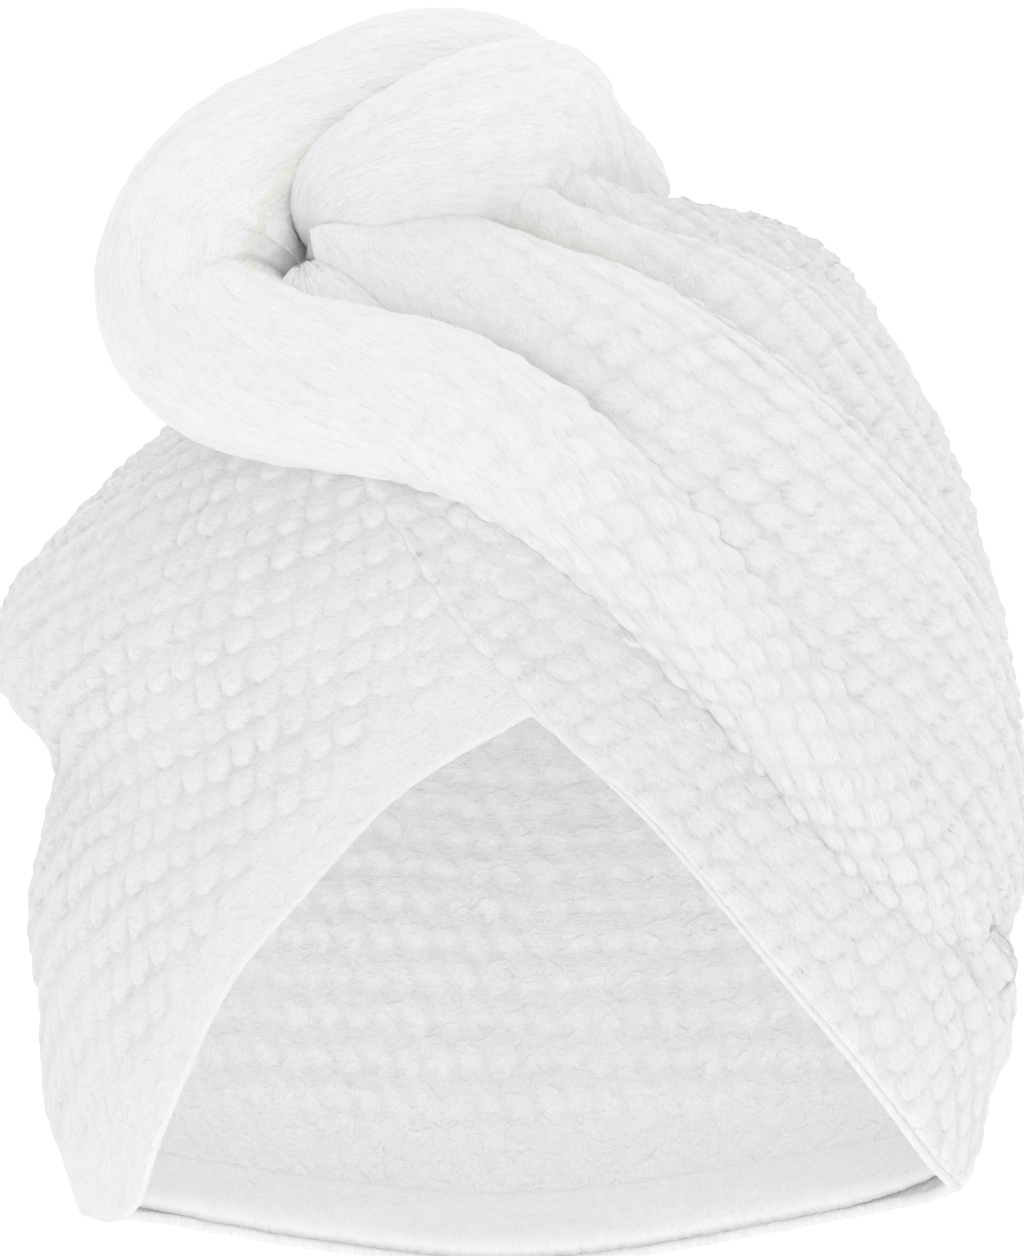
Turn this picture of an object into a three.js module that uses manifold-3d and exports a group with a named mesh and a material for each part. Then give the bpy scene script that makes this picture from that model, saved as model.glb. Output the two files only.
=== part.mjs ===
// Hair turban towel of white plush towelling, in the form that it has on a head.
// Millimetres. +Z is up, the front faces -Y, and +X is to the right of someone who looks at the front.
// The origin is the inside of the crown, where the top of the head sits.
//
// The cap is measured from its heart, a point in the middle of the head, by azimuth and elevation.
// All the folds run out of one eye above the brow. So a place on the cap is also given by its turn
// about that eye (0 to the front, 90 to the right) and its share of the way from the eye to the rim.
import * as THREE from 'three';
import { mergeVertices } from 'three/addons/utils/BufferGeometryUtils.js';
import Module from 'manifold-3d';

const wasm = await Module();
wasm.setup();

// Driving dimensions: how far the cloth lies from the heart, level with it and above it
const frontReach = 103;
const rightReach = 103;
const backReach = 114;
const leftReach = 109;
const crownReach = 75;

// The cloth and what is raised in it
const wall = 3.3;
const foldRise = 14.5;
const dentRise = 3.5;
const bandThickness = 3;
const hemWidth = 13;
const hemThickness = 2.2;
const edgeInset = 0.8; // from the rim to the edges of the hem and the band
const gap = 0.3;

// The two strands, across the front and down the back
const rollRadius = 19;
const tailRadius = 19;

// The fastening at the nape
const buttonRadius = 10;
const buttonThickness = 4;
const shankRadius = 3.5;
const loopCordRadius = 1.5;
const loopClearance = 0.4;

const heart = new THREE.Vector3(0, 0, wall - crownReach);
const eye = { azimuth: -26, elevation: 39.5 };
const nape = { azimuth: 180, button: -51.5, loopStart: -45.5 };

// The cap's outline by elevation: each side's distance from the heart as a share of its own reach
const profile = [
  { elevation: -70, front: 1.46, right: 1.71, back: 1.56, left: 1.58 },
  { elevation: -60, front: 1.38, right: 1.58, back: 1.46, left: 1.49 },
  { elevation: -45, front: 1.24, right: 1.36, back: 1.23, left: 1.28 },
  { elevation: -30, front: 1.11, right: 1.17, back: 1.09, left: 1.08 },
  { elevation: -15, front: 1.02, right: 1.05, back: 1.03, left: 0.95 },
  { elevation: 0, front: 1.0, right: 1.0, back: 1.0, left: 1.0 },
  { elevation: 15, front: 1.05, right: 0.97, back: 0.97, left: 0.93 },
  { elevation: 30, front: 1.14, right: 1.02, back: 0.96, left: 0.88 },
  { elevation: 45, front: 1.24, right: 1.16, back: 0.97, left: 0.87 },
  { elevation: 60, front: 1.27, right: 1.22, back: 0.99, left: 0.91 },
  { elevation: 75, front: 1.17, right: 1.14, back: 1.0, left: 0.97 },
  { elevation: 90, front: 1.0, right: 1.0, back: 1.0, left: 1.0 },
];

// The rim: low round the nape and the ears, and an arch over the face with its point near the middle
const rim = [
  { azimuth: -180, elevation: -57 },
  { azimuth: -150, elevation: -56 },
  { azimuth: -120, elevation: -54 },
  { azimuth: -83, elevation: -52.3 },
  { azimuth: -62, elevation: -52 },
  { azimuth: -54, elevation: -48 },
  { azimuth: -45, elevation: -42 },
  { azimuth: -36, elevation: -34 },
  { azimuth: -25, elevation: -25.5 },
  { azimuth: -13, elevation: -15 },
  { azimuth: 2, elevation: -6.2 },
  { azimuth: 15, elevation: -17.5 },
  { azimuth: 31, elevation: -31.5 },
  { azimuth: 48, elevation: -41.4 },
  { azimuth: 67, elevation: -48 },
  { azimuth: 90, elevation: -50.5 },
  { azimuth: 130, elevation: -54 },
  { azimuth: 180, elevation: -57 },
];

// The creases between the right side's folds: the turn of each at a share of the way to the rim.
// Then the rise of the three folds that stand between them, as shares of foldRise.
const folds = [
  { share: 0.0, groove: 70, ridge: 150, tuck: 165, crest: 180, broad: 0.2, low: 0.15, high: 0.15 },
  { share: 0.05, groove: 60, ridge: 135, tuck: 150, crest: 165, broad: 0.4, low: 0.3, high: 0.3 },
  { share: 0.1, groove: 54, ridge: 112, tuck: 126, crest: 140, broad: 0.6, low: 0.4, high: 0.4 },
  { share: 0.16, groove: 56, ridge: 99, tuck: 113, crest: 124, broad: 0.8, low: 0.6, high: 0.6 },
  { share: 0.24, groove: 59, ridge: 93, tuck: 106, crest: 126, broad: 0.95, low: 0.75, high: 0.75 },
  { share: 0.32, groove: 60, ridge: 91, tuck: 109, crest: 133, broad: 1.0, low: 0.75, high: 0.75 },
  { share: 0.42, groove: 58, ridge: 94, tuck: 117, crest: 142, broad: 0.95, low: 0.65, high: 0.65 },
  { share: 0.52, groove: 60, ridge: 99, tuck: 124, crest: 149, broad: 0.85, low: 0.55, high: 0.55 },
  { share: 0.62, groove: 64.5, ridge: 105, tuck: 130, crest: 154, broad: 0.7, low: 0.4, high: 0.4 },
  { share: 0.74, groove: 72, ridge: 111, tuck: 136, crest: 158, broad: 0.55, low: 0.3, high: 0.3 },
  { share: 0.86, groove: 82, ridge: 117, tuck: 140, crest: 161, broad: 0.35, low: 0.15, high: 0.15 },
  { share: 1.0, groove: 95, ridge: 123, tuck: 143, crest: 163, broad: 0.05, low: 0.0, high: 0.0 },
];

// Soft dents and bulges of the sides: where each lies, its rise as a share of dentRise, and its spans
const dents = [
  { azimuth: -92, elevation: -13, rise: -1.0, across: 26, along: 5 },
  { azimuth: -88, elevation: 2, rise: 0.7, across: 24, along: 9 },
  { azimuth: -96, elevation: -37, rise: -0.6, across: 18, along: 3.5 },
  { azimuth: -94, elevation: -27, rise: 0.45, across: 16, along: 4 },
  { azimuth: 92, elevation: -29, rise: -0.85, across: 18, along: 2.6 },
  { azimuth: 95, elevation: -36, rise: 0.55, across: 18, along: 3 },
  { azimuth: 94, elevation: -42.5, rise: -0.75, across: 16, along: 3 },
];

// The front band: at each turn, the shares of the way to the rim between which it lies, and how far
// it stands up, as a share of bandThickness
const band = [
  { turn: -12, upper: 0.26, lower: 0.31, raise: 1.0 },
  { turn: -4, upper: 0.28, lower: 0.37, raise: 1.0 },
  { turn: 3, upper: 0.31, lower: 0.46, raise: 1.0 },
  { turn: 10, upper: 0.35, lower: 0.58, raise: 1.0 },
  { turn: 15, upper: 0.38, lower: 0.73, raise: 1.0 },
  { turn: 20, upper: 0.42, lower: 0.87, raise: 1.0 },
  { turn: 27, upper: 0.47, lower: 1.0, raise: 1.0 },
  { turn: 40, upper: 0.54, lower: 1.0, raise: 1.0 },
  { turn: 47, upper: 0.61, lower: 1.0, raise: 1.0 },
  { turn: 56, upper: 0.69, lower: 1.0, raise: 1.0 },
  { turn: 66, upper: 0.78, lower: 1.0, raise: 1.0 },
  { turn: 76, upper: 0.84, lower: 1.0, raise: 1.0 },
  { turn: 88, upper: 0.89, lower: 1.0, raise: 0.9 },
  { turn: 102, upper: 0.92, lower: 1.0, raise: 0.65 },
  { turn: 118, upper: 0.945, lower: 1.0, raise: 0.4 },
  { turn: 134, upper: 0.97, lower: 1.0, raise: 0.25 },
];

// The strands' spines on the cap seen from above: degrees from the crown to the right and to the back.
// The lift off the cap and the two half widths are shares of rollRadius.
const frontSpine = [
  { right: 123, back: -26, lift: -0.4, width: 0.37, height: 0.16 },
  { right: 94, back: -67, lift: 0.05, width: 0.58, height: 0.32 },
  { right: 68.5, back: -79.5, lift: 0.15, width: 0.66, height: 0.42 },
  { right: 45, back: -81.5, lift: 0.17, width: 0.68, height: 0.5 },
  { right: 28, back: -79, lift: 0.23, width: 0.71, height: 0.58 },
  { right: 14, back: -74, lift: 0.31, width: 0.79, height: 0.68 },
  { right: 1, back: -68, lift: 0.42, width: 0.89, height: 0.79 },
  { right: -10, back: -63, lift: 0.5, width: 0.95, height: 0.9 },
  { right: -20, back: -59, lift: 0.6, width: 0.95, height: 0.95 },
  { right: -29.5, back: -53, lift: 0.75, width: 0.97, height: 1.0 },
  { right: -35.5, back: -45, lift: 1.0, width: 1.0, height: 1.05 },
  { right: -35.5, back: -38, lift: 1.4, width: 1.03, height: 1.05 },
  { right: -31.5, back: -32.5, lift: 1.73, width: 0.95, height: 1.0 },
  { right: -25.5, back: -29, lift: 1.88, width: 0.84, height: 0.95 },
  { right: -18, back: -25.5, lift: 1.91, width: 0.79, height: 0.84 },
  { right: -9.5, back: -20.5, lift: 1.99, width: 0.84, height: 0.76 },
  { right: -3, back: -14.5, lift: 1.98, width: 0.89, height: 0.68 },
  { right: 2, back: -5, lift: 1.7, width: 0.89, height: 0.68 },
];
const crownSpine = [
  { right: -27, back: -45, lift: 0.8, width: 0.55, height: 0.6 },
  { right: -21.5, back: -42.5, lift: 1.05, width: 0.76, height: 0.8 },
  { right: -13, back: -38, lift: 1.1, width: 0.87, height: 0.9 },
  { right: -5.5, back: -34, lift: 1.08, width: 0.95, height: 0.97 },
  { right: 1.5, back: -27.5, lift: 1.07, width: 1.0, height: 1.0 },
  { right: 7.5, back: -18.5, lift: 1.08, width: 0.95, height: 0.95 },
  { right: 11, back: -6.5, lift: 1.06, width: 0.89, height: 0.89 },
];

// The tail that both strands twist into: its lift and radius are shares of tailRadius
const tail = [
  { right: 6.5, back: 7, lift: 1.2, radius: 0.9 },
  { right: 5, back: 19, lift: 1.12, radius: 1.0 },
  { right: 3, back: 34, lift: 0.95, radius: 1.05 },
  { right: 1, back: 51, lift: 0.85, radius: 1.02 },
  { right: 0, back: 67, lift: 0.8, radius: 0.96 },
  { right: 0, back: 82.5, lift: 0.75, radius: 0.9 },
  { right: 0, back: 96, lift: 0.7, radius: 0.82 },
  { right: 0, back: 111, lift: 0.62, radius: 0.7 },
  { right: 0, back: 125.5, lift: 0.5, radius: 0.56 },
  { right: 0, back: 136, lift: 0.36, radius: 0.36 },
];
const tailTwist = 1.35; // turns from the crown to the tip
const strandOffset = 0.52; // of the tail's radius, from its middle to a strand's
const strandShare = 0.78; // of the tail's radius, a strand's own

// How finely each form is faceted
const columnsOf = { apexToGroove: 9, grooveToRidge: 8, ridgeToTuck: 5, tuckToCrest: 5, crestToApex: 29 };
const hoodRows = 20;
const strandRings = 46;
const strandSides = 12;
const tailRows = 15;
const bandRings = 22;
const bandCells = 5;
const hemCells = 2;
const loopSteps = 24;

const towelling = new THREE.MeshStandardMaterial({ color: 0xf1f0ee, roughness: 1, metalness: 0 });
const hemCloth = new THREE.MeshStandardMaterial({ color: 0xf7f7f5, roughness: 0.95, metalness: 0 });
const elastic = new THREE.MeshStandardMaterial({ color: 0xeeeeec, roughness: 0.8, metalness: 0 });
const buttonWhite = new THREE.MeshStandardMaterial({ color: 0xf2f1ed, roughness: 0.35, metalness: 0 });

const { degToRad, radToDeg, clamp } = THREE.MathUtils;

// A smooth value between a table's rows: a cubic whose slope at a row is the mean of both sides'.
function between(table, key, column, at) {
  const last = table.length - 1;
  let i = 0;
  while (i < last - 1 && table[i + 1][key] < at) i += 1;
  const slope = (j) => (table[j + 1][column] - table[j][column]) / (table[j + 1][key] - table[j][key]);
  const tangent = (j) => (slope(Math.max(j - 1, 0)) + slope(Math.min(j, last - 1))) / 2;
  const span = table[i + 1][key] - table[i][key];
  const t = clamp((at - table[i][key]) / span, 0, 1);
  const rise = t * t * (3 - 2 * t);
  const start = t * (1 - t) * (1 - t) * span * tangent(i);
  const end = t * t * (t - 1) * span * tangent(i + 1);
  return table[i][column] * (1 - rise) + table[i + 1][column] * rise + start + end;
}

// The cap's distance from the heart, without folds: the sides' outlines mixed by the azimuth.
function capReach(azimuth, elevation) {
  const up = Math.max(Math.sin(degToRad(elevation)), 0) ** 2;
  const side = (column, reach) =>
    between(profile, 'elevation', column, elevation) * (reach * (1 - up) + crownReach * up);
  const front = Math.cos(degToRad(azimuth));
  const right = Math.sin(degToRad(azimuth));
  const lengthways = front > 0 ? side('front', frontReach) : side('back', backReach);
  const sideways = right > 0 ? side('right', rightReach) : side('left', leftReach);
  return front ** 2 * lengthways + right ** 2 * sideways;
}

// The map of the cap, seen from above: degrees from the crown to the right and to the back.
function mapPlace(azimuth, elevation) {
  const down = 90 - elevation;
  return new THREE.Vector2(down * Math.sin(degToRad(azimuth)), -down * Math.cos(degToRad(azimuth)));
}

function mapAngles(place) {
  return { azimuth: radToDeg(Math.atan2(place.x, -place.y)), elevation: 90 - place.length() };
}

const eyePlace = mapPlace(eye.azimuth, eye.elevation);

// The arch's point, where the hood keeps a column so that it stays sharp, as a turn about the eye
const apexTurn = turnFromEye(mapPlace(rim[10].azimuth, rim[10].elevation));

function turnFromEye(place) {
  const fromEye = place.clone().sub(eyePlace);
  return radToDeg(Math.atan2(fromEye.x, -fromEye.y));
}

function mapFromEye(turn, degrees) {
  const heading = new THREE.Vector2(Math.sin(degToRad(turn)), -Math.cos(degToRad(turn)));
  return heading.multiplyScalar(degrees).add(eyePlace);
}

// How many map degrees lie between the eye and the rim, once for each degree of turn.
function marchToRim(turn) {
  const step = 0.25;
  let degrees = 30;
  let angles = mapAngles(mapFromEye(turn, degrees));
  while (angles.elevation > between(rim, 'azimuth', 'elevation', angles.azimuth)) {
    degrees += step;
    angles = mapAngles(mapFromEye(turn, degrees));
  }
  return degrees;
}

const rimReaches = Array.from({ length: 361 }, (_, i) => ({ turn: i - 180, degrees: marchToRim(i - 180) }));

function rimReach(turn) {
  const wrapped = THREE.MathUtils.euclideanModulo(turn + 180, 360);
  const i = Math.min(Math.floor(wrapped), 359);
  return THREE.MathUtils.lerp(rimReaches[i].degrees, rimReaches[i + 1].degrees, wrapped - i);
}

// The share of the way from the eye that a length in millimetres takes beside the rim.
function shareOf(length, turn) {
  const angles = mapAngles(mapFromEye(turn, rimReach(turn)));
  return length / (rimReach(turn) * degToRad(capReach(angles.azimuth, angles.elevation)));
}

// How high the folds stand: each rises between its two creases and ends sharply in them.
function foldHeight(turn, share) {
  const crease = (name) => between(folds, 'share', name, share);
  const fold = (from, to, rise) => {
    const across = clamp((turn - crease(from)) / (crease(to) - crease(from)), 0, 1);
    return foldRise * Math.max(between(folds, 'share', rise, share), 0) * Math.sin(Math.PI * across) ** 0.7;
  };
  return fold('groove', 'ridge', 'broad') + fold('ridge', 'tuck', 'low') + fold('tuck', 'crest', 'high');
}

function dentHeight(azimuth, elevation) {
  return dents.reduce((sum, dent) => {
    const across = (THREE.MathUtils.euclideanModulo(azimuth - dent.azimuth + 180, 360) - 180) / dent.across;
    const along = (elevation - dent.elevation) / dent.along;
    return sum + dentRise * dent.rise * Math.exp(-(across ** 2) - along ** 2);
  }, 0);
}

function direction(azimuth, elevation) {
  const level = Math.cos(degToRad(elevation));
  return new THREE.Vector3(
    level * Math.sin(degToRad(azimuth)),
    -level * Math.cos(degToRad(azimuth)),
    Math.sin(degToRad(elevation)),
  );
}

// A point of the cloth's outside, lifted off it by some millimetres.
function clothPoint(azimuth, elevation, lift) {
  const place = mapPlace(azimuth, elevation);
  const turn = turnFromEye(place);
  const share = place.distanceTo(eyePlace) / rimReach(turn);
  const raised = foldHeight(THREE.MathUtils.euclideanModulo(turn, 360), share) + dentHeight(azimuth, elevation);
  return direction(azimuth, elevation).multiplyScalar(capReach(azimuth, elevation) + raised + lift).add(heart);
}

function eyePoint(turn, share, lift) {
  const angles = mapAngles(mapFromEye(turn, rimReach(turn) * share));
  return clothPoint(angles.azimuth, angles.elevation, lift);
}

// A closed solid through rings of points. A ring of one point closes an end, or loop joins both ends.
function solidThrough(rings, loop = false) {
  const points = rings.flat();
  const starts = rings.map((_, i) => rings.slice(0, i).reduce((sum, ring) => sum + ring.length, 0));
  const faces = [];
  const bands = loop ? rings.length : rings.length - 1;
  for (let i = 0; i < bands; i += 1) {
    const j = (i + 1) % rings.length;
    const sides = Math.max(rings[i].length, rings[j].length);
    for (let k = 0; k < sides; k += 1) {
      const at = (ring, step) => starts[ring] + ((k + step) % rings[ring].length);
      if (rings[i].length > 1) faces.push(at(i, 0), at(i, 1), at(j, 0));
      if (rings[j].length > 1) faces.push(at(j, 0), at(i, 1), at(j, 1));
    }
  }
  return facingOut(points, faces);
}

function facingOut(points, faces) {
  const mesh = (triangles) =>
    new wasm.Mesh({
      numProp: 3,
      vertProperties: new Float32Array(points.flatMap((point) => point.toArray())),
      triVerts: new Uint32Array(triangles),
    });
  const solid = new wasm.Manifold(mesh(faces));
  return solid.volume() > 0 ? solid : new wasm.Manifold(mesh(faces.toReversed()));
}

// A three.js geometry as a solid, and a solid as a three.js geometry.
function solidOf(geometry) {
  const bare = geometry.clone().deleteAttribute('normal').deleteAttribute('uv');
  const merged = mergeVertices(bare, 1e-4);
  const position = merged.getAttribute('position');
  const points = Array.from({ length: position.count }, (_, i) => new THREE.Vector3().fromBufferAttribute(position, i));
  return facingOut(points, Array.from(merged.index.array));
}

function geometryOf(solid) {
  const { vertProperties, triVerts } = solid.getMesh();
  const geometry = new THREE.BufferGeometry();
  geometry.setAttribute('position', new THREE.BufferAttribute(vertProperties, 3));
  geometry.setIndex(new THREE.BufferAttribute(triVerts, 1));
  const facets = geometry.toNonIndexed();
  facets.computeVertexNormals();
  return facets;
}

function largest(solid) {
  return solid.decompose().reduce((best, body) => (body.volume() > best.volume() ? body : best));
}

// The turns of the hood's columns at a share of the way to the rim: they follow the creases.
function hoodTurns(share) {
  const crease = (name) => between(folds, 'share', name, share);
  const stops = [apexTurn, crease('groove'), crease('ridge'), crease('tuck'), crease('crest')];
  const counts = Object.values(columnsOf);
  return stops.flatMap((stop, i) => {
    const next = i + 1 < stops.length ? stops[i + 1] : stops[0] + 360;
    return Array.from({ length: counts[i] }, (_, k) => stop + ((next - stop) * k) / counts[i]);
  });
}

// The cloth as rings from the eye to the rim, at a lift off its outside.
function clothRings(lift) {
  const first = 0.6 / hoodRows;
  const rings = Array.from({ length: hoodRows }, (_, i) => {
    const share = first + (1 - first) * (i / (hoodRows - 1));
    return hoodTurns(share).map((turn) => eyePoint(turn, share, lift));
  });
  return [[eyePoint(0, 0, lift)], ...rings];
}

function hood() {
  return solidThrough([...clothRings(0), ...clothRings(-wall).reverse()]);
}

// All that lies within the cloth's outside at a lift, filled to the heart, and the same of its inside.
// Each runs its rings in the hood's own order, so that their facets lie flat on the hood's.
function filledHood(lift) {
  return solidThrough([...clothRings(lift), [heart]]);
}

function hollow(lift) {
  return solidThrough([[heart], ...clothRings(-wall - lift).reverse()]);
}

// A strip of cloth over the hood, as rings across it: the right half's border that crosses the left half.
// It reaches down into the hood, which is then cut from it, and spare makes it wider and thicker.
function bandRaised(spare) {
  const first = band[0].turn - spare;
  const last = band[band.length - 1].turn + spare;
  const rings = Array.from({ length: bandRings }, (_, i) => {
    const turn = THREE.MathUtils.lerp(first, last, i / (bandRings - 1));
    const upper = between(band, 'turn', 'upper', turn) - shareOf(spare, turn);
    const lower = between(band, 'turn', 'lower', turn) - shareOf(edgeInset - spare, turn);
    const across = Array.from({ length: bandCells + 1 }, (_, k) => THREE.MathUtils.lerp(upper, lower, k / bandCells));
    const over = gap + bandThickness * between(band, 'turn', 'raise', turn) + spare;
    const top = across.map((share) => eyePoint(turn, share, over));
    const bottom = across.map((share) => eyePoint(turn, share, -bandThickness));
    return [...top, ...bottom.reverse()];
  });
  return solidThrough([[middleOf(rings[0])], ...rings, [middleOf(rings.at(-1))]]);
}

function middleOf(points) {
  return points.reduce((sum, point) => sum.add(point), new THREE.Vector3()).divideScalar(points.length);
}

function frontBand() {
  return largest(bandRaised(0).subtract(filledHood(gap)));
}

// The turned-in edge: a strip inside the hood, right round its rim.
function hem() {
  const outer = -wall + 1;
  const inner = -wall - gap - hemThickness;
  const rings = hoodTurns(1).map((turn) => {
    const shares = Array.from({ length: hemCells + 1 }, (_, k) => {
      const inset = edgeInset + (hemWidth * k) / hemCells;
      return 1 - shareOf(inset, turn);
    });
    const top = shares.map((share) => eyePoint(turn, share, outer));
    const bottom = shares.map((share) => eyePoint(turn, share, inner));
    return [...top, ...bottom.reverse()];
  });
  return largest(solidThrough(rings, true).intersect(hollow(gap)));
}

function spinePoint(row, size) {
  const angles = mapAngles(new THREE.Vector2(row.right, row.back));
  const reach = capReach(angles.azimuth, angles.elevation) + row.lift * size;
  return direction(angles.azimuth, angles.elevation).multiplyScalar(reach).add(heart);
}

// Adds to each row its distance along the rows, so that values between them can be worked out.
function withDistance(rows) {
  let along = 0;
  return rows.map((row, i) => {
    if (i > 0) along += Math.hypot(row.x - rows[i - 1].x, row.y - rows[i - 1].y, row.z - rows[i - 1].z);
    return { ...row, along };
  });
}

function placeBetween(rows, along) {
  return new THREE.Vector3(...['x', 'y', 'z'].map((axis) => between(rows, 'along', axis, along)));
}

// Where a strand runs in the tail: it winds about the tail's middle, starting at a phase in degrees.
function twistedRows(phase) {
  const rows = withDistance(tail.map((row) => ({ ...spinePoint(row, tailRadius), radius: row.radius * tailRadius })));
  const length = rows.at(-1).along;
  return Array.from({ length: tailRows }, (_, i) => {
    const along = (length * i) / (tailRows - 1);
    const middle = placeBetween(rows, along);
    const ahead = placeBetween(rows, along + 1).sub(placeBetween(rows, along - 1)).normalize();
    const side = new THREE.Vector3(1, 0, 0).addScaledVector(ahead, -ahead.x).normalize();
    const up = new THREE.Vector3().crossVectors(side, ahead);
    const angle = degToRad(phase + (360 * tailTwist * i) / (tailRows - 1));
    const radius = between(rows, 'along', 'radius', along);
    middle.addScaledVector(side, radius * strandOffset * Math.cos(angle));
    middle.addScaledVector(up, radius * strandOffset * Math.sin(angle));
    return { x: middle.x, y: middle.y, z: middle.z, width: radius * strandShare, height: radius * strandShare };
  });
}

// A strand from its spine's rows: elliptical rings that close round at both ends.
function strand(spine, phase, spare) {
  const front = spine.map((row) => ({
    ...spinePoint(row, rollRadius),
    width: row.width * rollRadius,
    height: row.height * rollRadius,
  }));
  const rows = withDistance([...front, ...twistedRows(phase)]);
  const length = rows.at(-1).along;
  const rings = Array.from({ length: strandRings }, (_, i) => {
    const along = (length * (i + 0.5)) / strandRings;
    const middle = placeBetween(rows, along);
    const ahead = placeBetween(rows, along + 1).sub(placeBetween(rows, along - 1)).normalize();
    const out = middle.clone().sub(heart);
    out.addScaledVector(ahead, -out.dot(ahead)).normalize();
    const side = new THREE.Vector3().crossVectors(ahead, out);
    const width = between(rows, 'along', 'width', along);
    const height = between(rows, 'along', 'height', along);
    const nearEnd = clamp(Math.min(along, length - along) / width, 0, 1);
    const rounding = Math.sqrt(1 - (1 - nearEnd) ** 2);
    return Array.from({ length: strandSides }, (_, k) => {
      const angle = (2 * Math.PI * k) / strandSides;
      const point = middle.clone().addScaledVector(side, Math.cos(angle) * (width * rounding + spare));
      return point.addScaledVector(out, Math.sin(angle) * (height * rounding + spare));
    });
  });
  return solidThrough([[placeBetween(rows, 0)], ...rings, [placeBetween(rows, length)]]);
}

// The button's cap and shank, turned about the axis that stands on the cloth.
function buttonProfile() {
  const under = 2 * (loopCordRadius + loopClearance);
  const round = buttonThickness / 3;
  return [
    [0, 0],
    [shankRadius, 0],
    [shankRadius, under],
    [buttonRadius - round, under],
    [buttonRadius, under + round],
    [buttonRadius, under + 2 * round],
    [buttonRadius - round, under + buttonThickness],
    [0, under + buttonThickness],
  ].map(([x, y]) => new THREE.Vector2(x, y));
}

function napeNormal() {
  const here = clothPoint(nape.azimuth, nape.button, 0);
  const aside = clothPoint(nape.azimuth - 1, nape.button, 0).sub(here);
  const above = clothPoint(nape.azimuth, nape.button + 1, 0).sub(here);
  return new THREE.Vector3().crossVectors(above, aside).normalize();
}

// The elastic loop: out of the tail's tip, round the shank and back.
function loopPath() {
  const normal = napeNormal();
  const middle = clothPoint(nape.azimuth, nape.button, 0).addScaledVector(normal, gap + loopCordRadius + loopClearance);
  const across = new THREE.Vector3(1, 0, 0);
  const up = new THREE.Vector3().crossVectors(across, normal).normalize();
  if (up.z < 0) up.negate();
  const start = clothPoint(nape.azimuth, nape.loopStart, 0).sub(middle).dot(up);
  const bend = shankRadius + loopClearance + loopCordRadius;
  const at = (x, y) => middle.clone().addScaledVector(across, x).addScaledVector(up, y);
  const arc = Array.from({ length: 7 }, (_, i) => {
    const angle = Math.PI * (1 - i / 6);
    return at(bend * Math.cos(angle), -bend * Math.sin(angle));
  });
  const lean = bend / 2;
  return new THREE.CatmullRomCurve3([at(-lean, start), at(-bend, start / 3), ...arc, at(bend, start / 3), at(lean, start)]);
}

function loopSolid() {
  const section = new THREE.Shape().absarc(0, 0, loopCordRadius, 0, 2 * Math.PI);
  return solidOf(new THREE.ExtrudeGeometry(section, { steps: loopSteps, curveSegments: 4, extrudePath: loopPath() }));
}

function piece(name, geometry, material) {
  const mesh = new THREE.Mesh(geometry, material);
  mesh.name = name;
  return mesh;
}

function button() {
  const mesh = piece('button', new THREE.LatheGeometry(buttonProfile(), 20), buttonWhite);
  const normal = napeNormal();
  mesh.position.copy(clothPoint(nape.azimuth, nape.button, 0)).addScaledVector(normal, gap);
  mesh.quaternion.setFromUnitVectors(new THREE.Vector3(0, 1, 0), normal);
  return mesh;
}

// Each piece keeps the gap to those under it: the band lies on the hood, the rolls on both.
const capWithGap = filledHood(gap);
const bandWithGap = bandRaised(gap);
const frontRoll = largest(strand(frontSpine, 180, 0).subtract(capWithGap).subtract(bandWithGap));
const frontRollWithGap = strand(frontSpine, 180, gap);
const crownRoll = largest(strand(crownSpine, 0, 0).subtract(capWithGap).subtract(frontRollWithGap));
const crownRollWithGap = strand(crownSpine, 0, gap);
const loop = largest(loopSolid().subtract(frontRollWithGap).subtract(crownRollWithGap));

const turban = new THREE.Group();
turban.add(
  piece('hood', geometryOf(hood()), towelling),
  piece('front_band', geometryOf(frontBand()), towelling),
  piece('hem', geometryOf(hem()), hemCloth),
  piece('front_roll', geometryOf(frontRoll), towelling),
  piece('crown_roll', geometryOf(crownRoll), towelling),
  piece('loop', geometryOf(loop), elastic),
  button(),
);

export default turban;
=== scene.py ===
# %% [markdown]
# # A white hair turban towel, in the form it has on a head
#
# A turban towel is one sheet of plush towelling sewn into a cap with a long tail. The cap goes round the head,
# the tail is twisted with the hair in it, laid back over the crown and looped on a button at the nape.
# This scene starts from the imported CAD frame. It keeps every size and place of it, and makes each soft piece
# again as a fine surface that has the cloth's folds, its raised nubs and its fibres.

import math

import bpy
import numpy as np
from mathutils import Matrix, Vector


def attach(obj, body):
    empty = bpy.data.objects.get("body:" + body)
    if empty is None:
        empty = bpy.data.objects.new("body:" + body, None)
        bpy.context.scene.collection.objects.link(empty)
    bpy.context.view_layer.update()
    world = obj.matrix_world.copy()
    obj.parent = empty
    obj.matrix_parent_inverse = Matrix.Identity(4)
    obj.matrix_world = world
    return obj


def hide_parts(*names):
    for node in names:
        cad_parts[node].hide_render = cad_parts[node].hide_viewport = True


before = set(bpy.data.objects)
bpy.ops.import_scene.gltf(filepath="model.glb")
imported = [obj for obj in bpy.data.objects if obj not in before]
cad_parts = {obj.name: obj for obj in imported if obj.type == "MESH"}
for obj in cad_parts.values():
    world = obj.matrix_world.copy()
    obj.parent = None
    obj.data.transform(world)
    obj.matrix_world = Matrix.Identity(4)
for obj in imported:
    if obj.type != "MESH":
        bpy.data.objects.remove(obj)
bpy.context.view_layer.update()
print("pieces in the frame:", sorted(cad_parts))

# %% [markdown]
# ## The cap's driving sizes
#
# The cap is measured from its heart, a point in the middle of the head. Its outline could be drawn as one
# profile and turned, but a wrapped head isn't round. So each side has its own distance from the heart, and a
# short table says how that distance changes with the elevation, as a share of it.

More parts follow.
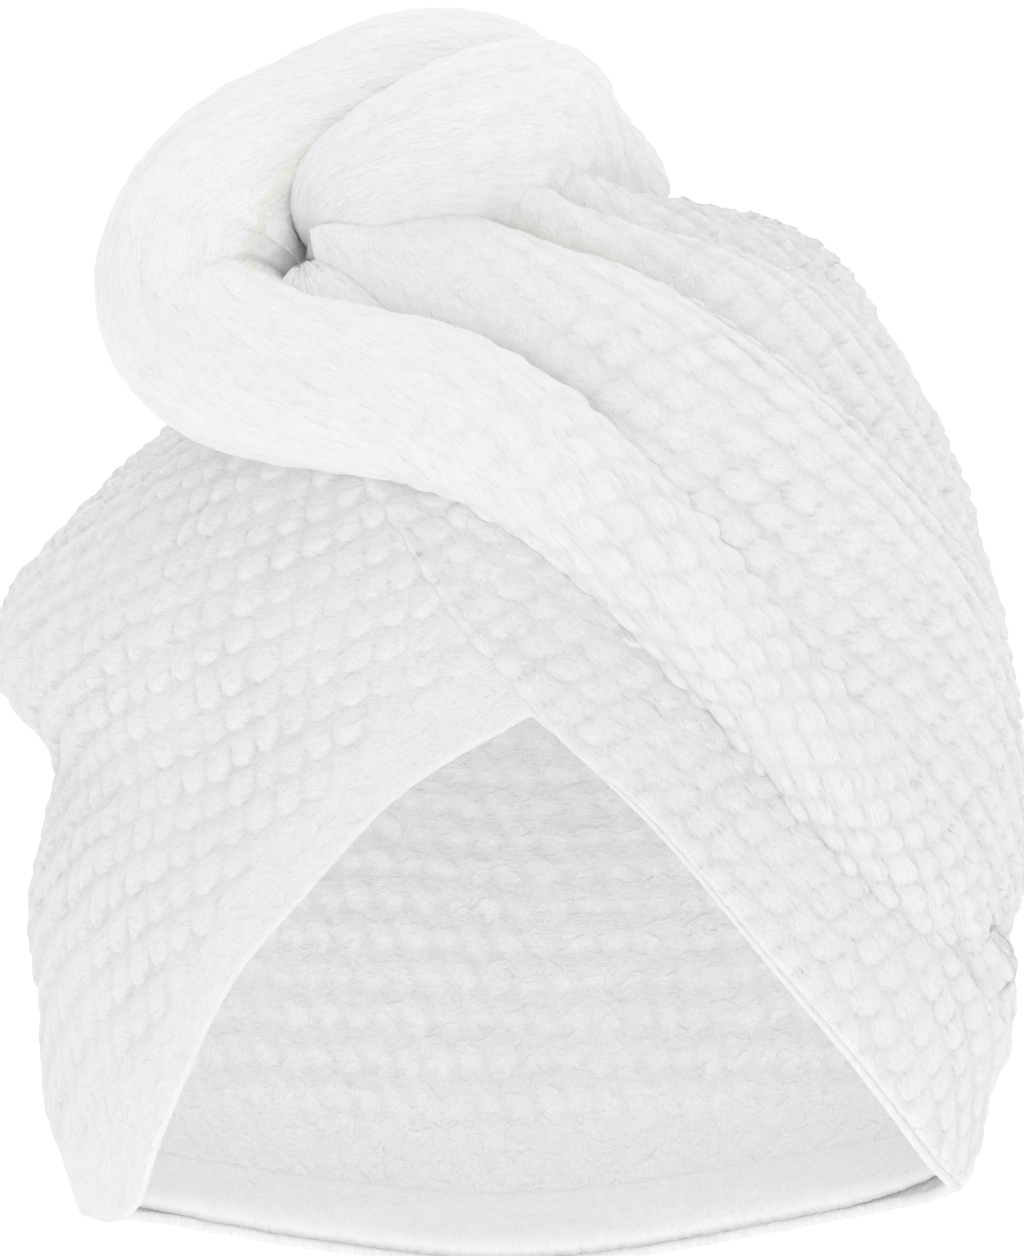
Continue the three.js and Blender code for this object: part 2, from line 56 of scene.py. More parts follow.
# %% Sizes in metres, angles in degrees
MM = 0.001
FRONT_REACH = 103 * MM
RIGHT_REACH = 103 * MM
BACK_REACH = 114 * MM
LEFT_REACH = 109 * MM
CROWN_REACH = 75 * MM
WALL = 3.3 * MM
FOLD_RISE = 14.5 * MM
DENT_RISE = 3.5 * MM
BAND_THICKNESS = 3 * MM
HEM_WIDTH = 13 * MM
HEM_THICKNESS = 2.2 * MM
EDGE_INSET = 0.8 * MM
GAP = 0.3 * MM
ROLL_RADIUS = 19 * MM
TAIL_RADIUS = 19 * MM

HEART = np.array([0.0, 0.0, WALL - CROWN_REACH])
EYE_AZIMUTH = -26.0
EYE_ELEVATION = 39.5


def table(columns, rows):
    """A table of numbers as one array for each named column."""
    return dict(zip(columns.split(), np.array(rows, float).T))


PROFILE = table(
    "at front right back left",
    [
        [-70, 1.46, 1.71, 1.56, 1.58],
        [-60, 1.38, 1.58, 1.46, 1.49],
        [-45, 1.24, 1.36, 1.23, 1.28],
        [-30, 1.11, 1.17, 1.09, 1.08],
        [-15, 1.02, 1.05, 1.03, 0.95],
        [0, 1.0, 1.0, 1.0, 1.0],
        [15, 1.05, 0.97, 0.97, 0.93],
        [30, 1.14, 1.02, 0.96, 0.88],
        [45, 1.24, 1.16, 0.97, 0.87],
        [60, 1.27, 1.22, 0.99, 0.91],
        [75, 1.17, 1.14, 1.0, 0.97],
        [90, 1.0, 1.0, 1.0, 1.0],
    ],
)
RIM = table(
    "at elevation",
    [
        [-180, -57.8],
        [-150, -56.4],
        [-120, -54],
        [-83, -52.3],
        [-62, -52],
        [-54, -48],
        [-45, -42],
        [-36, -34],
        [-25, -25.5],
        [-13, -15],
        [2, -6.2],
        [15, -17.5],
        [31, -31.5],
        [48, -41.4],
        [67, -48],
        [90, -50.5],
        [130, -54.2],
        [180, -57.8],
    ],
)
APEX_ROW = 10


def between(rows, column, at, corner=None):
    """The value between two rows of a table. It is a cubic through both rows, and its slope at a row is the
    mean of the slopes of the straight lines on both sides of that row. At a corner each side keeps its own
    slope, and a table with a corner goes all the way round."""
    x, y = rows["at"], rows[column]
    slope = np.diff(y) / np.diff(x)
    leaving = np.concatenate([slope[:1], (slope[1:] + slope[:-1]) / 2])
    arriving = np.concatenate([(slope[1:] + slope[:-1]) / 2, slope[-1:]])
    if corner is not None:
        leaving[corner], arriving[corner - 1] = slope[corner], slope[corner - 1]
        leaving[0] = arriving[-1] = (slope[0] + slope[-1]) / 2
    i = np.clip(np.searchsorted(x, at) - 1, 0, len(x) - 2)
    span = x[i + 1] - x[i]
    t = np.clip((at - x[i]) / span, 0, 1)
    rise = t * t * (3 - 2 * t)
    start = t * (1 - t) ** 2 * span * leaving[i]
    end = t * t * (t - 1) * span * arriving[i]
    return y[i] * (1 - rise) + y[i + 1] * rise + start + end


def rim_elevation(azimuth):
    """How low the rim lies at an azimuth. Its highest place, the point of the arch, is a corner."""
    return between(RIM, "elevation", azimuth, APEX_ROW)


def cap_reach(azimuth, elevation):
    """The cloth's distance from the heart, without folds: level round the head it is a quarter ellipse between
    the two nearest sides. Towards the crown every side's own reach gives way to the crown's."""
    up = np.clip(np.sin(np.radians(elevation)), 0, None) ** 2
    front, right = np.cos(np.radians(azimuth)), np.sin(np.radians(azimuth))

    def side(column, reach):
        return between(PROFILE, column, elevation) * (reach * (1 - up) + CROWN_REACH * up)

    lengthways = np.where(front > 0, side("front", FRONT_REACH), side("back", BACK_REACH))
    sideways = np.where(right > 0, side("right", RIGHT_REACH), side("left", LEFT_REACH))
    return 1 / np.sqrt((front / lengthways) ** 2 + (right / sideways) ** 2)


print("reach level with the heart, front and back:", cap_reach(np.array([0.0, 180.0]), np.zeros(2)).round(4))

# %% [markdown]
# ## A map of the cap
#
# All the folds run out of one eye above the brow, so it is handy to say where a point lies by its turn about
# that eye and by its share of the way from the eye to the rim. A flat map makes both easy to work out: it is
# the cap seen from above, where a point's distance from the middle is its angle from the crown.

# %% Between the map, the angles and the eye


def map_place(azimuth, elevation):
    """Degrees from the crown to the right and to the back."""
    down = 90 - elevation
    return np.stack([down * np.sin(np.radians(azimuth)), -down * np.cos(np.radians(azimuth))], -1)


def map_angles(place):
    """The azimuth and the elevation of a place on the map."""
    azimuth = np.degrees(np.arctan2(place[..., 0], -place[..., 1]))
    return azimuth, 90 - np.linalg.norm(place, axis=-1)


def heading(turn):
    """The map's direction of a turn about the eye: 0 is to the front and 90 to the right."""
    return np.stack([np.sin(np.radians(turn)), -np.cos(np.radians(turn))], -1)


EYE_PLACE = map_place(EYE_AZIMUTH, EYE_ELEVATION)


def turn_from_eye(place):
    """The turn about the eye of a place on the map, in degrees from -180 to 180."""
    offset = place - EYE_PLACE
    return np.degrees(np.arctan2(offset[..., 0], -offset[..., 1]))


def measure_rim():
    """For each half degree of turn, the first of many steps from the eye that lies below the rim."""
    turns = np.arange(-180, 180.25, 0.5)
    steps = np.arange(30, 235, 0.1)
    azimuth, elevation = map_angles(EYE_PLACE + steps[None, :, None] * heading(turns)[:, None])
    below = elevation < rim_elevation(azimuth)
    return turns, steps[below.argmax(1)]


RIM_TURNS, RIM_DEGREES = measure_rim()


def rim_reach(turn):
    """How many map degrees lie between the eye and the rim."""
    return np.interp((turn + 180) % 360 - 180, RIM_TURNS, RIM_DEGREES)


def direction(azimuth, elevation):
    """The unit arrow from the heart at these angles."""
    a, e = np.radians(azimuth), np.radians(elevation)
    return np.stack([np.cos(e) * np.sin(a), -np.cos(e) * np.cos(a), np.sin(e)], -1)


def angles_of(points):
    """The azimuth, the elevation and the distance of points from the heart."""
    arrow = points - HEART
    distance = np.linalg.norm(arrow, axis=-1)
    azimuth = np.degrees(np.arctan2(arrow[..., 0], -arrow[..., 1]))
    return azimuth, np.degrees(np.arcsin(np.clip(arrow[..., 2] / distance, -1, 1))), distance


print("degrees from the eye to the rim:", RIM_DEGREES.min().round(1), "to", RIM_DEGREES.max().round(1))

# %% [markdown]
# ## Folds and dents of the cap
#
# The right side carries three folds that fan out of the eye. A fold could be modelled by hand or dropped by
# a cloth simulation, but in a wrapped towel the folds are held tight and always in the same place. So each
# fold is a rise between two creases, and the creases are given by the turn that they have along the way.

# %% The folds' table and their height
FOLDS = table(
    "at groove ridge tuck crest broad low high",
    [
        [0.0, 70, 150, 165, 180, 0.3, 0.2, 0.2],
        [0.05, 60, 135, 150, 165, 0.5, 0.35, 0.3],
        [0.1, 54, 112, 126, 140, 0.75, 0.45, 0.4],
        [0.16, 56, 99, 113, 124, 0.92, 0.55, 0.5],
        [0.24, 59, 93, 106, 126, 1.0, 0.55, 0.5],
        [0.32, 60, 91, 109, 133, 1.0, 0.52, 0.46],
        [0.42, 58, 94, 117, 142, 0.95, 0.46, 0.42],
        [0.52, 60, 99, 124, 149, 0.85, 0.4, 0.36],
        [0.62, 64.5, 105, 130, 154, 0.7, 0.34, 0.3],
        [0.74, 72, 111, 136, 158, 0.55, 0.28, 0.25],
        [0.86, 82, 117, 140, 161, 0.35, 0.15, 0.15],
        [1.0, 95, 123, 143, 163, 0.05, 0.0, 0.0],
    ],
)
DENTS = table(
    "azimuth elevation rise across along",
    [
        [-92, -13, -1.0, 26, 5],
        [-88, 2, 0.7, 24, 9],
        [-96, -37, -0.6, 18, 3.5],
        [-94, -27, 0.45, 16, 4],
        [92, -29, -0.85, 18, 2.6],
        [95, -36, 0.55, 18, 3],
        [94, -42.5, -0.75, 16, 3],
    ],
)


def fold_height(turn, share):
    """Each fold rises as the sine of the way across it, to a power under one so that it is full in the middle
    and falls steeply into its creases."""
    height = np.zeros(np.broadcast(turn, share).shape)
    for start, end, rise in (("groove", "ridge", "broad"), ("ridge", "tuck", "low"), ("tuck", "crest", "high")):
        first, last = between(FOLDS, start, share), between(FOLDS, end, share)
        across = np.clip((turn - first) / (last - first), 0, 1)
        height += FOLD_RISE * np.clip(between(FOLDS, rise, share), 0, None) * np.sin(np.pi * across) ** 0.7
    return height


def dent_height(azimuth, elevation):
    """The sum of soft bell shapes, one for each dent or bulge of the sides."""
    height = np.zeros(np.broadcast(azimuth, elevation).shape)
    for a, e, rise, across, along in zip(*DENTS.values()):
        off = ((azimuth - a + 180) % 360 - 180) / across
        height += DENT_RISE * rise * np.exp(-(off**2) - ((elevation - e) / along) ** 2)
    return height


def eye_way(azimuth, elevation):
    """The turn about the eye, from 0 to 360, and the share of the way to the rim."""
    place = map_place(azimuth, elevation)
    turn = turn_from_eye(place)
    return turn % 360, np.linalg.norm(place - EYE_PLACE, axis=-1) / rim_reach(turn)


def outside_reach(azimuth, elevation):
    """The distance from the heart to the cloth's outside, folds and dents included."""
    turn, share = eye_way(azimuth, elevation)
    return cap_reach(azimuth, elevation) + fold_height(turn, share) + dent_height(azimuth, elevation)


def share_of(length, turn):
    """The share of the way from the eye that a length in metres takes beside the rim."""
    azimuth, elevation = map_angles(EYE_PLACE + rim_reach(turn)[..., None] * heading(turn))
    return length / (rim_reach(turn) * np.radians(cap_reach(azimuth, elevation)))


def eye_angles(turn, share):
    """The azimuth and elevation at a turn about the eye and a share of the way to the rim."""
    return map_angles(EYE_PLACE + (rim_reach(turn) * share)[..., None] * heading(turn))


print("highest fold:", (fold_height(np.arange(360.0), np.full(360, 0.32)).max() / MM).round(1), "mm")

# %% [markdown]
# ## The two strands' lines
#
# The tail of the towel is twisted into two strands. One crosses the brow, turns round the eye and goes over
# the crown, and the other starts in the eye. Both wind round each other down to the nape. Their lines come
# before the cap's surface, because the cap's cloth rises softly to meet them.

# %% The strands' tables
FRONT_SPINE = table(
    "right back lift width height inner",
    [
        [123, -26, -0.4, 0.37, 0.16, 0.9],
        [94, -67, 0.05, 0.58, 0.32, 0.9],
        [68.5, -79.5, 0.15, 0.66, 0.42, 0.88],
        [45, -81.5, 0.17, 0.68, 0.5, 0.85],
        [28, -79, 0.23, 0.71, 0.58, 0.82],
        [14, -74, 0.31, 0.79, 0.68, 0.8],
        [1, -68, 0.42, 0.89, 0.79, 0.8],
        [-10, -63, 0.5, 0.95, 0.9, 0.82],
        [-20, -59, 0.6, 0.95, 0.95, 0.88],
        [-29.5, -53, 0.8, 0.97, 1.0, 0.95],
        [-35.5, -45, 1.1, 1.0, 1.05, 1.1],
        [-35.5, -38, 1.5, 1.03, 1.05, 1.25],
        [-31.5, -32.5, 1.83, 0.95, 1.0, 1.35],
        [-25.5, -29, 1.98, 0.84, 0.95, 1.25],
        [-18, -25.5, 1.98, 0.79, 0.84, 1.1],
        [-9.5, -20.5, 1.99, 0.84, 0.76, 1.0],
        [-3, -14.5, 1.98, 0.89, 0.68, 1.0],
        [2, -5, 1.7, 0.89, 0.68, 1.0],
    ],
)
CROWN_SPINE = table(
    "right back lift width height inner",
    [
        [-27, -45, 0.8, 0.55, 0.6, 0.8],
        [-21.5, -42.5, 1.0, 0.72, 0.8, 0.75],
        [-13, -38, 1.1, 0.87, 0.9, 0.8],
        [-5.5, -34, 1.08, 0.95, 0.97, 0.85],
        [0.5, -28, 1.07, 1.0, 1.0, 0.7],
        [5, -19.5, 1.08, 0.95, 0.95, 0.6],
        [8, -7.5, 1.06, 0.89, 0.89, 0.65],
    ],
)
TAIL = table(
    "right back lift radius",
    [
        [6.5, 7, 1.2, 0.9],
        [5, 19, 1.12, 1.0],
        [3, 34, 0.95, 1.05],
        [1, 51, 0.85, 1.02],
        [0, 67, 0.8, 0.96],
        [0, 82.5, 0.75, 0.9],
        [0, 96, 0.7, 0.82],
        [0, 111, 0.62, 0.7],
        [0, 125.5, 0.5, 0.56],
        [0, 136, 0.36, 0.36],
    ],
)
TAIL_TWIST = 1.35
STRAND_OFFSET = 0.52
STRAND_SHARE = 0.78

# %% [markdown]
# A line is a smooth curve through a table's rows. It is measured by its length, so that rings set along it
# are evenly spaced, and the section at each ring stands square to the line.

# %% A line and the frames along it


def spine_points(rows, size):
    """The rows' places in space: off the cap by the lift times this size, in the direction of the map place."""
    azimuth, elevation = map_angles(np.stack([rows["right"], rows["back"]], -1))
    reach = cap_reach(azimuth, elevation) + rows["lift"] * size
    return HEART + reach[:, None] * direction(azimuth, elevation)


def by_length(points, **columns):
    """A table of a line's points and other columns, by the distance along the line."""
    steps = np.linalg.norm(np.diff(points, axis=0), axis=1)
    return {"at": np.concatenate([[0], np.cumsum(steps)]), **dict(zip("xyz", points.T)), **columns}


def place_on(line, at):
    """The points of a line at distances along it."""
    return np.stack([between(line, axis, at) for axis in "xyz"], -1)


def unit(arrows):
    """Arrows of length one."""
    return arrows / np.linalg.norm(arrows, axis=-1, keepdims=True)


def ahead_on(line, at):
    """The line's own direction: from a millimetre before a point to a millimetre after it."""
    return unit(place_on(line, at + MM) - place_on(line, at - MM))


def twisted(phase):
    """A strand's line in the tail: it circles the tail's middle while it runs down, from a starting phase."""
    middle_line = by_length(spine_points(TAIL, TAIL_RADIUS), radius=TAIL["radius"] * TAIL_RADIUS)
    share = np.linspace(0, 1, 15)
    at = share * middle_line["at"][-1]
    ahead = ahead_on(middle_line, at)
    side = unit(np.array([1.0, 0, 0]) - ahead * ahead[:, :1])
    up = np.cross(side, ahead)
    angle = np.radians(phase + 360 * TAIL_TWIST * share)[:, None]
    radius = between(middle_line, "radius", at)
    around = radius[:, None] * STRAND_OFFSET * (np.cos(angle) * side + np.sin(angle) * up)
    return place_on(middle_line, at) + around, radius * STRAND_SHARE


def strand_line(spine, phase):
    """The whole line of a strand: its own rows first and its winding part after them."""
    tail_points, tail_radius = twisted(phase)
    return by_length(
        np.concatenate([spine_points(spine, ROLL_RADIUS), tail_points]),
        width=np.concatenate([spine["width"] * ROLL_RADIUS, tail_radius]),
        height=np.concatenate([spine["height"] * ROLL_RADIUS, tail_radius]),
        inner=np.concatenate([spine["inner"], np.ones(len(tail_radius))]),
    )


def frames_on(line, at):
    """At distances along a line: the point, the arrow ahead, the arrow away from the heart, and the arrow to
    the side, which points to the inside of the bend round the eye."""
    middle, ahead = place_on(line, at), ahead_on(line, at)
    out = middle - HEART
    out = unit(out - ahead * (out * ahead).sum(-1, keepdims=True))
    return middle, ahead, out, np.cross(ahead, out)


FRONT_LINE = strand_line(FRONT_SPINE, 180)
CROWN_LINE = strand_line(CROWN_SPINE, 0)


def off_strand(points, line, samples=260):
    """How far points lie off a strand, how far along it and how far to its side. The nearest of many frames
    along the line is found first. There the distance is how much the section's ellipse would have to grow,
    times its mean radius, and the side is a share of the half width. Beyond the line's ends the way along the
    line counts as well."""
    at = np.linspace(0, line["at"][-1], samples)
    middle, ahead, out, side = frames_on(line, at)
    flat = points.reshape(-1, 3)
    nearest = np.concatenate(
        [((part[:, None] - middle[None]) ** 2).sum(-1).argmin(1) for part in np.array_split(flat, 12)]
    )
    offset = flat - middle[nearest]
    x = (offset * side[nearest]).sum(1)
    y = (offset * out[nearest]).sum(1)
    width = between(line, "width", at)[nearest] * np.where(x > 0, between(line, "inner", at)[nearest], 1)
    height = between(line, "height", at)[nearest]
    grown = np.sqrt((x / width) ** 2 + (y / height) ** 2)
    shape = points.shape[:-1]
    distance = (grown - 1) * np.sqrt(width * height)
    beyond = np.clip(np.abs((offset * ahead[nearest]).sum(1)) - 2 * MM, 0, None)
    distance = np.where(beyond > 0, np.hypot(np.clip(distance, 0, None), beyond), distance)
    return distance.reshape(shape), at[nearest].reshape(shape), (x / width).reshape(shape)


print("strands:", FRONT_LINE["at"][-1].round(3), "and", CROWN_LINE["at"][-1].round(3), "m long")

# %% [markdown]
# ## The towelling's own relief
#
# Plush towelling isn't smooth: its loops stand in rows of soft nubs, 7.5 mm apart, each a little different.
# An image could paint them, but real relief catches the light at the outline too. So the nubs are worked out
# as a height over the cloth's own two directions, u along a row and v across the rows, and moved into the mesh.
# Slow noise bends the rows, because knitted loops never lie quite straight.

# %% Noise and nubs over a cloth's two directions
NUB_LENGTH = 7.6 * MM
NUB_ROW = 7.4 * MM


def dice(i, j, seed):
    """A repeatable number from 0 to 1 for each whole-number place: the fraction of a large sine."""
    return np.abs(np.sin(i * 127.1 + j * 311.7 + seed * 74.7) * 43758.5453) % 1


def mottle(u, v, size, seed):
    """Soft noise from -1 to 1: random values at the corners of squares of this size, mixed smoothly."""
    x, y = u / size, v / size
    i, j = np.floor(x), np.floor(y)
    fx, fy = x - i, y - j
    fx, fy = fx * fx * (3 - 2 * fx), fy * fy * (3 - 2 * fy)
    low = dice(i, j, seed) * (1 - fx) + dice(i + 1, j, seed) * fx
    high = dice(i, j + 1, seed) * (1 - fx) + dice(i + 1, j + 1, seed) * fx
    return 2 * (low * (1 - fy) + high * fy) - 1


def nubs(u, v, seed=0):
    """From 0 to about 1, like overlapping scales: each nub's lower edge is an arc and rises steeply, and from
    there the nub sinks slowly towards the row above. Rows are set off by half a nub and lean to one side, each
    nub has a height of its own, and slow noise bends the rows and lets whole patches stand lower."""
    drift_u = 1.8 * MM * mottle(u, v, 31 * MM, seed + 1) + 0.6 * MM * mottle(u, v, 7 * MM, seed + 2)
    drift_v = 2.2 * MM * mottle(u, v, 37 * MM, seed + 3) + 0.6 * MM * mottle(u, v, 8 * MM, seed + 4)
    u, v = u + drift_u, v + drift_v
    row = np.floor(v / NUB_ROW)
    y = v / NUB_ROW - row
    x = u / NUB_LENGTH - 0.4 * y + 0.5 * (row % 2) + 0.3 * dice(row, 0 * row, seed)
    cell = np.floor(x)
    x = x - cell
    edge = 0.3 * (2 * x - 1) ** 2
    y = np.clip((y - edge) / (1 - edge), 0, 1)
    tall = 0.45 + 0.55 * dice(cell, row, seed + 5)
    patch = 0.85 + 0.3 * mottle(u, v, 28 * MM, seed + 6)
    return patch * tall * np.sin(np.pi * y**0.55) ** 0.9 * np.sin(np.pi * x) ** 0.6


def nub_hollow_shade(height, u, v):
    """How much painted shade the hollows between nubs get: the square of what a nub's height lacks, stronger in
    patches.
    """
    return (0.4 + 0.3 * mottle(u, v, 19 * MM, 31)) * np.clip(1 - 1.6 * height, 0, 1) ** 2


def pile(u, v, seed=0):
    """The uneven pile between nub and fibre, from -1 to 1: two sizes of soft noise."""
    return 0.65 * mottle(u, v, 2.4 * MM, seed + 7) + 0.35 * mottle(u, v, 11 * MM, seed + 8)


def streaks(u, v, size, seed=0):
    """Fine gathers from -1 to 1 that run along u: soft noise drawn out seven times, in two sizes."""
    return 0.6 * mottle(u / 7, v, size, seed + 9) + 0.4 * mottle(u / 6, v, size / 2, seed + 10)


def smooth(low, high, x):
    """From 0 at low to 1 at high, with soft ends."""
    t = np.clip((x - low) / (high - low), 0, 1)
    return t * t * (3 - 2 * t)


# %% [markdown]
# ## Putting arrays into meshes
#
# Every soft piece is a grid of points: rows that run along it and columns that go round it. One helper turns
# such a grid into a closed mesh. It also writes the cloth's directions as a UV map, so that the weave of the
# material follows the cloth, and two numbers for each point that set painted shade: how deep it lies in a
# crease or against other cloth, and how deep in a hollow between nubs.

# %% A closed mesh from a grid


def grid_faces(rows, columns, wrap_rows):
    """Four corners for each cell of a grid whose columns go all the way round."""
    here = np.arange(rows * columns).reshape(rows, columns)
    upper = here if wrap_rows else here[:-1]
    lower = np.roll(here, -1, 0) if wrap_rows else here[1:]
    return np.stack([upper, np.roll(upper, -1, 1), np.roll(lower, -1, 1), lower], -1).reshape(-1, 4)


def end_faces(rows, columns):
    """Fans of triangles that close the first and the last row, each round a middle point of its own."""
    middle = rows * columns
    k = np.arange(columns)
    after = (k + 1) % columns
    last = middle - columns
    first_fan = np.stack([np.full(columns, middle), after, k], -1)
    last_fan = np.stack([np.full(columns, middle + 1), last + k, last + after], -1)
    return np.concatenate([first_fan, last_fan])


def with_ends(values):
    """Grid values as one long list, followed by the means of the first and the last row."""
    first, last = values[0].mean(0)[None], values[-1].mean(0)[None]
    return np.concatenate([values.reshape(-1, values.shape[-1]), first, last])


def signed_volume(mesh):
    """The volume that the faces enclose, negative if they point inwards: a sum of corner products."""
    mesh.calc_loop_triangles()
    corners = np.empty(len(mesh.loop_triangles) * 3, np.int32)
    mesh.loop_triangles.foreach_get("vertices", corners)
    place = np.empty(len(mesh.vertices) * 3)
    mesh.vertices.foreach_get("co", place)
    a, b, c = place.reshape(-1, 3)[corners.reshape(-1, 3)].transpose(1, 0, 2)
    return float((a * np.cross(b, c)).sum() / 6)


def make_piece(name, node, points, cloth, crease_shade, hollow_shade, material, wrap_rows=False):
    """A piece that rides on the part, from a grid of points. It stands for a CAD node if one is named. cloth
    holds u and v in metres, and the two masks after it the painted shade in creases and in hollows, from 0 to
    1, for each point."""
    rows, columns = points.shape[:2]
    masks = [np.broadcast_to(mask, points.shape[:2])[..., None] for mask in (crease_shade, hollow_shade)]
    values = np.concatenate([points, cloth, *masks], -1)
    values = values.reshape(-1, 7) if wrap_rows else with_ends(values)
    faces = grid_faces(rows, columns, wrap_rows).tolist()
    if not wrap_rows:
        faces += end_faces(rows, columns).tolist()
    mesh = bpy.data.meshes.new(name)
    mesh.from_pydata(values[:, :3].tolist(), [], faces)
    if signed_volume(mesh) < 0:
        mesh.flip_normals()
    mesh.shade_smooth()
    corner = np.empty(len(mesh.loops), np.int32)
    mesh.loops.foreach_get("vertex_index", corner)
    mesh.uv_layers.new(name="cloth").data.foreach_set("uv", values[corner, 3:5].astype(np.float32).ravel())
    for label, column in (("crease_shade", 5), ("hollow_shade", 6)):
        mask = mesh.attributes.new(label, "FLOAT", "POINT")
        mask.data.foreach_set("value", values[:, column].astype(np.float32))
    mesh.materials.append(material)
    piece = bpy.data.objects.new(name, mesh)
    bpy.context.scene.collection.objects.link(piece)
    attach(piece, "root")
    if node:
        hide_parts(node)
    print(name, "has", sum(len(face) - 2 for face in faces), "triangles")
    return piece


def moved_out(points, height):
    """Points moved along the surface's own normals by a height. A normal is the cross product of the two
    directions of the grid, and on a strand it points away from the section's middle."""
    along = np.gradient(points, axis=0)
    around = (np.roll(points, -1, 1) - np.roll(points, 1, 1)) / 2
    normal = np.cross(around, along)
    length = np.linalg.norm(normal, axis=-1, keepdims=True)
    outward = points - points.mean(1, keepdims=True)
    normal *= np.sign((normal * outward).sum((1, 2), keepdims=True))
    return points + height[..., None] * normal / np.maximum(length, 1e-12)


# %% [markdown]
# ## The finish of the cloth
#
# White towelling in soft light is all about small things: fine fibres that scatter light, a faint warm painted
# shade where cloth presses on cloth, a greyer painted shade between nubs, and no shine. One node group makes
# the fibres, and every cloth material uses it with its own values. The Principled shader stays in the material.

# %% A shader group for fibres


def socket(group, name, kind, way, value=None):
    """Adds one named input or output to a node group."""
    made = group.interface.new_socket(name=name, socket_type=kind, in_out=way)
    if value is not None:
        made.default_value = value
    return made


def noise_node(nodes, detail, roughness, distortion):
    """A noise texture with its three character values."""
    node = nodes.new("ShaderNodeTexNoise")
    node.inputs["Detail"].default_value = detail
    node.inputs["Roughness"].default_value = roughness
    node.inputs["Distortion"].default_value = distortion
    return node


def math_node(nodes, operation, value):
    """A math node whose second number is fixed."""
    node = nodes.new("ShaderNodeMath")
    node.operation = operation
    node.inputs[1].default_value = value
    return node


def fibre_group():
    """Noise in two sizes. The fine one is drawn out along the cloth's u direction, the other one makes tufts
    five times as large. Their sum is the height, and both are put out for the colour."""
    group = bpy.data.node_groups.new("fibres", "ShaderNodeTree")
    socket(group, "Cloth", "NodeSocketVector", "INPUT")
    socket(group, "Fibres per metre", "NodeSocketFloat", "INPUT", 2000.0)
    socket(group, "Drawn out", "NodeSocketFloat", "INPUT", 0.6)
    socket(group, "Height", "NodeSocketFloat", "OUTPUT")
    socket(group, "Speckle", "NodeSocketFloat", "OUTPUT")
    nodes, links = group.nodes, group.links
    inputs, outputs = nodes.new("NodeGroupInput"), nodes.new("NodeGroupOutput")
    stretch = nodes.new("ShaderNodeCombineXYZ")
    stretch.inputs["Y"].default_value = 1.0
    links.new(inputs.outputs["Drawn out"], stretch.inputs["X"])
    drawn = nodes.new("ShaderNodeVectorMath")
    drawn.operation = "MULTIPLY"
    links.new(inputs.outputs["Cloth"], drawn.inputs[0])
    links.new(stretch.outputs["Vector"], drawn.inputs[1])
    fine = noise_node(nodes, 3.0, 0.6, 0.4)
    links.new(drawn.outputs["Vector"], fine.inputs["Vector"])
    links.new(inputs.outputs["Fibres per metre"], fine.inputs["Scale"])
    fifth = math_node(nodes, "MULTIPLY", 0.2)
    links.new(inputs.outputs["Fibres per metre"], fifth.inputs[0])
    tufts = noise_node(nodes, 2.0, 0.5, 0.8)
    links.new(drawn.outputs["Vector"], tufts.inputs["Vector"])
    links.new(fifth.outputs["Value"], tufts.inputs["Scale"])
    height = math_node(nodes, "MULTIPLY_ADD", 2.2)
    links.new(tufts.outputs["Fac"], height.inputs[0])
    links.new(fine.outputs["Fac"], height.inputs[2])
    speckle = math_node(nodes, "MULTIPLY_ADD", 0.7)
    links.new(tufts.outputs["Fac"], speckle.inputs[0])
    links.new(fine.outputs["Fac"], speckle.inputs[2])
    links.new(height.outputs["Value"], outputs.inputs["Height"])
    links.new(speckle.outputs["Value"], outputs.inputs["Speckle"])
    return group


FIBRES = fibre_group()


def color_mix(nodes, links, factor, over):
    """A node that mixes a fixed colour over its input A by a factor that changes over the surface."""
    mix = nodes.new("ShaderNodeMix")
    mix.data_type = "RGBA"
    mix.inputs["B"].default_value = (*over, 1)
    links.new(factor, mix.inputs["Factor"])
    return mix


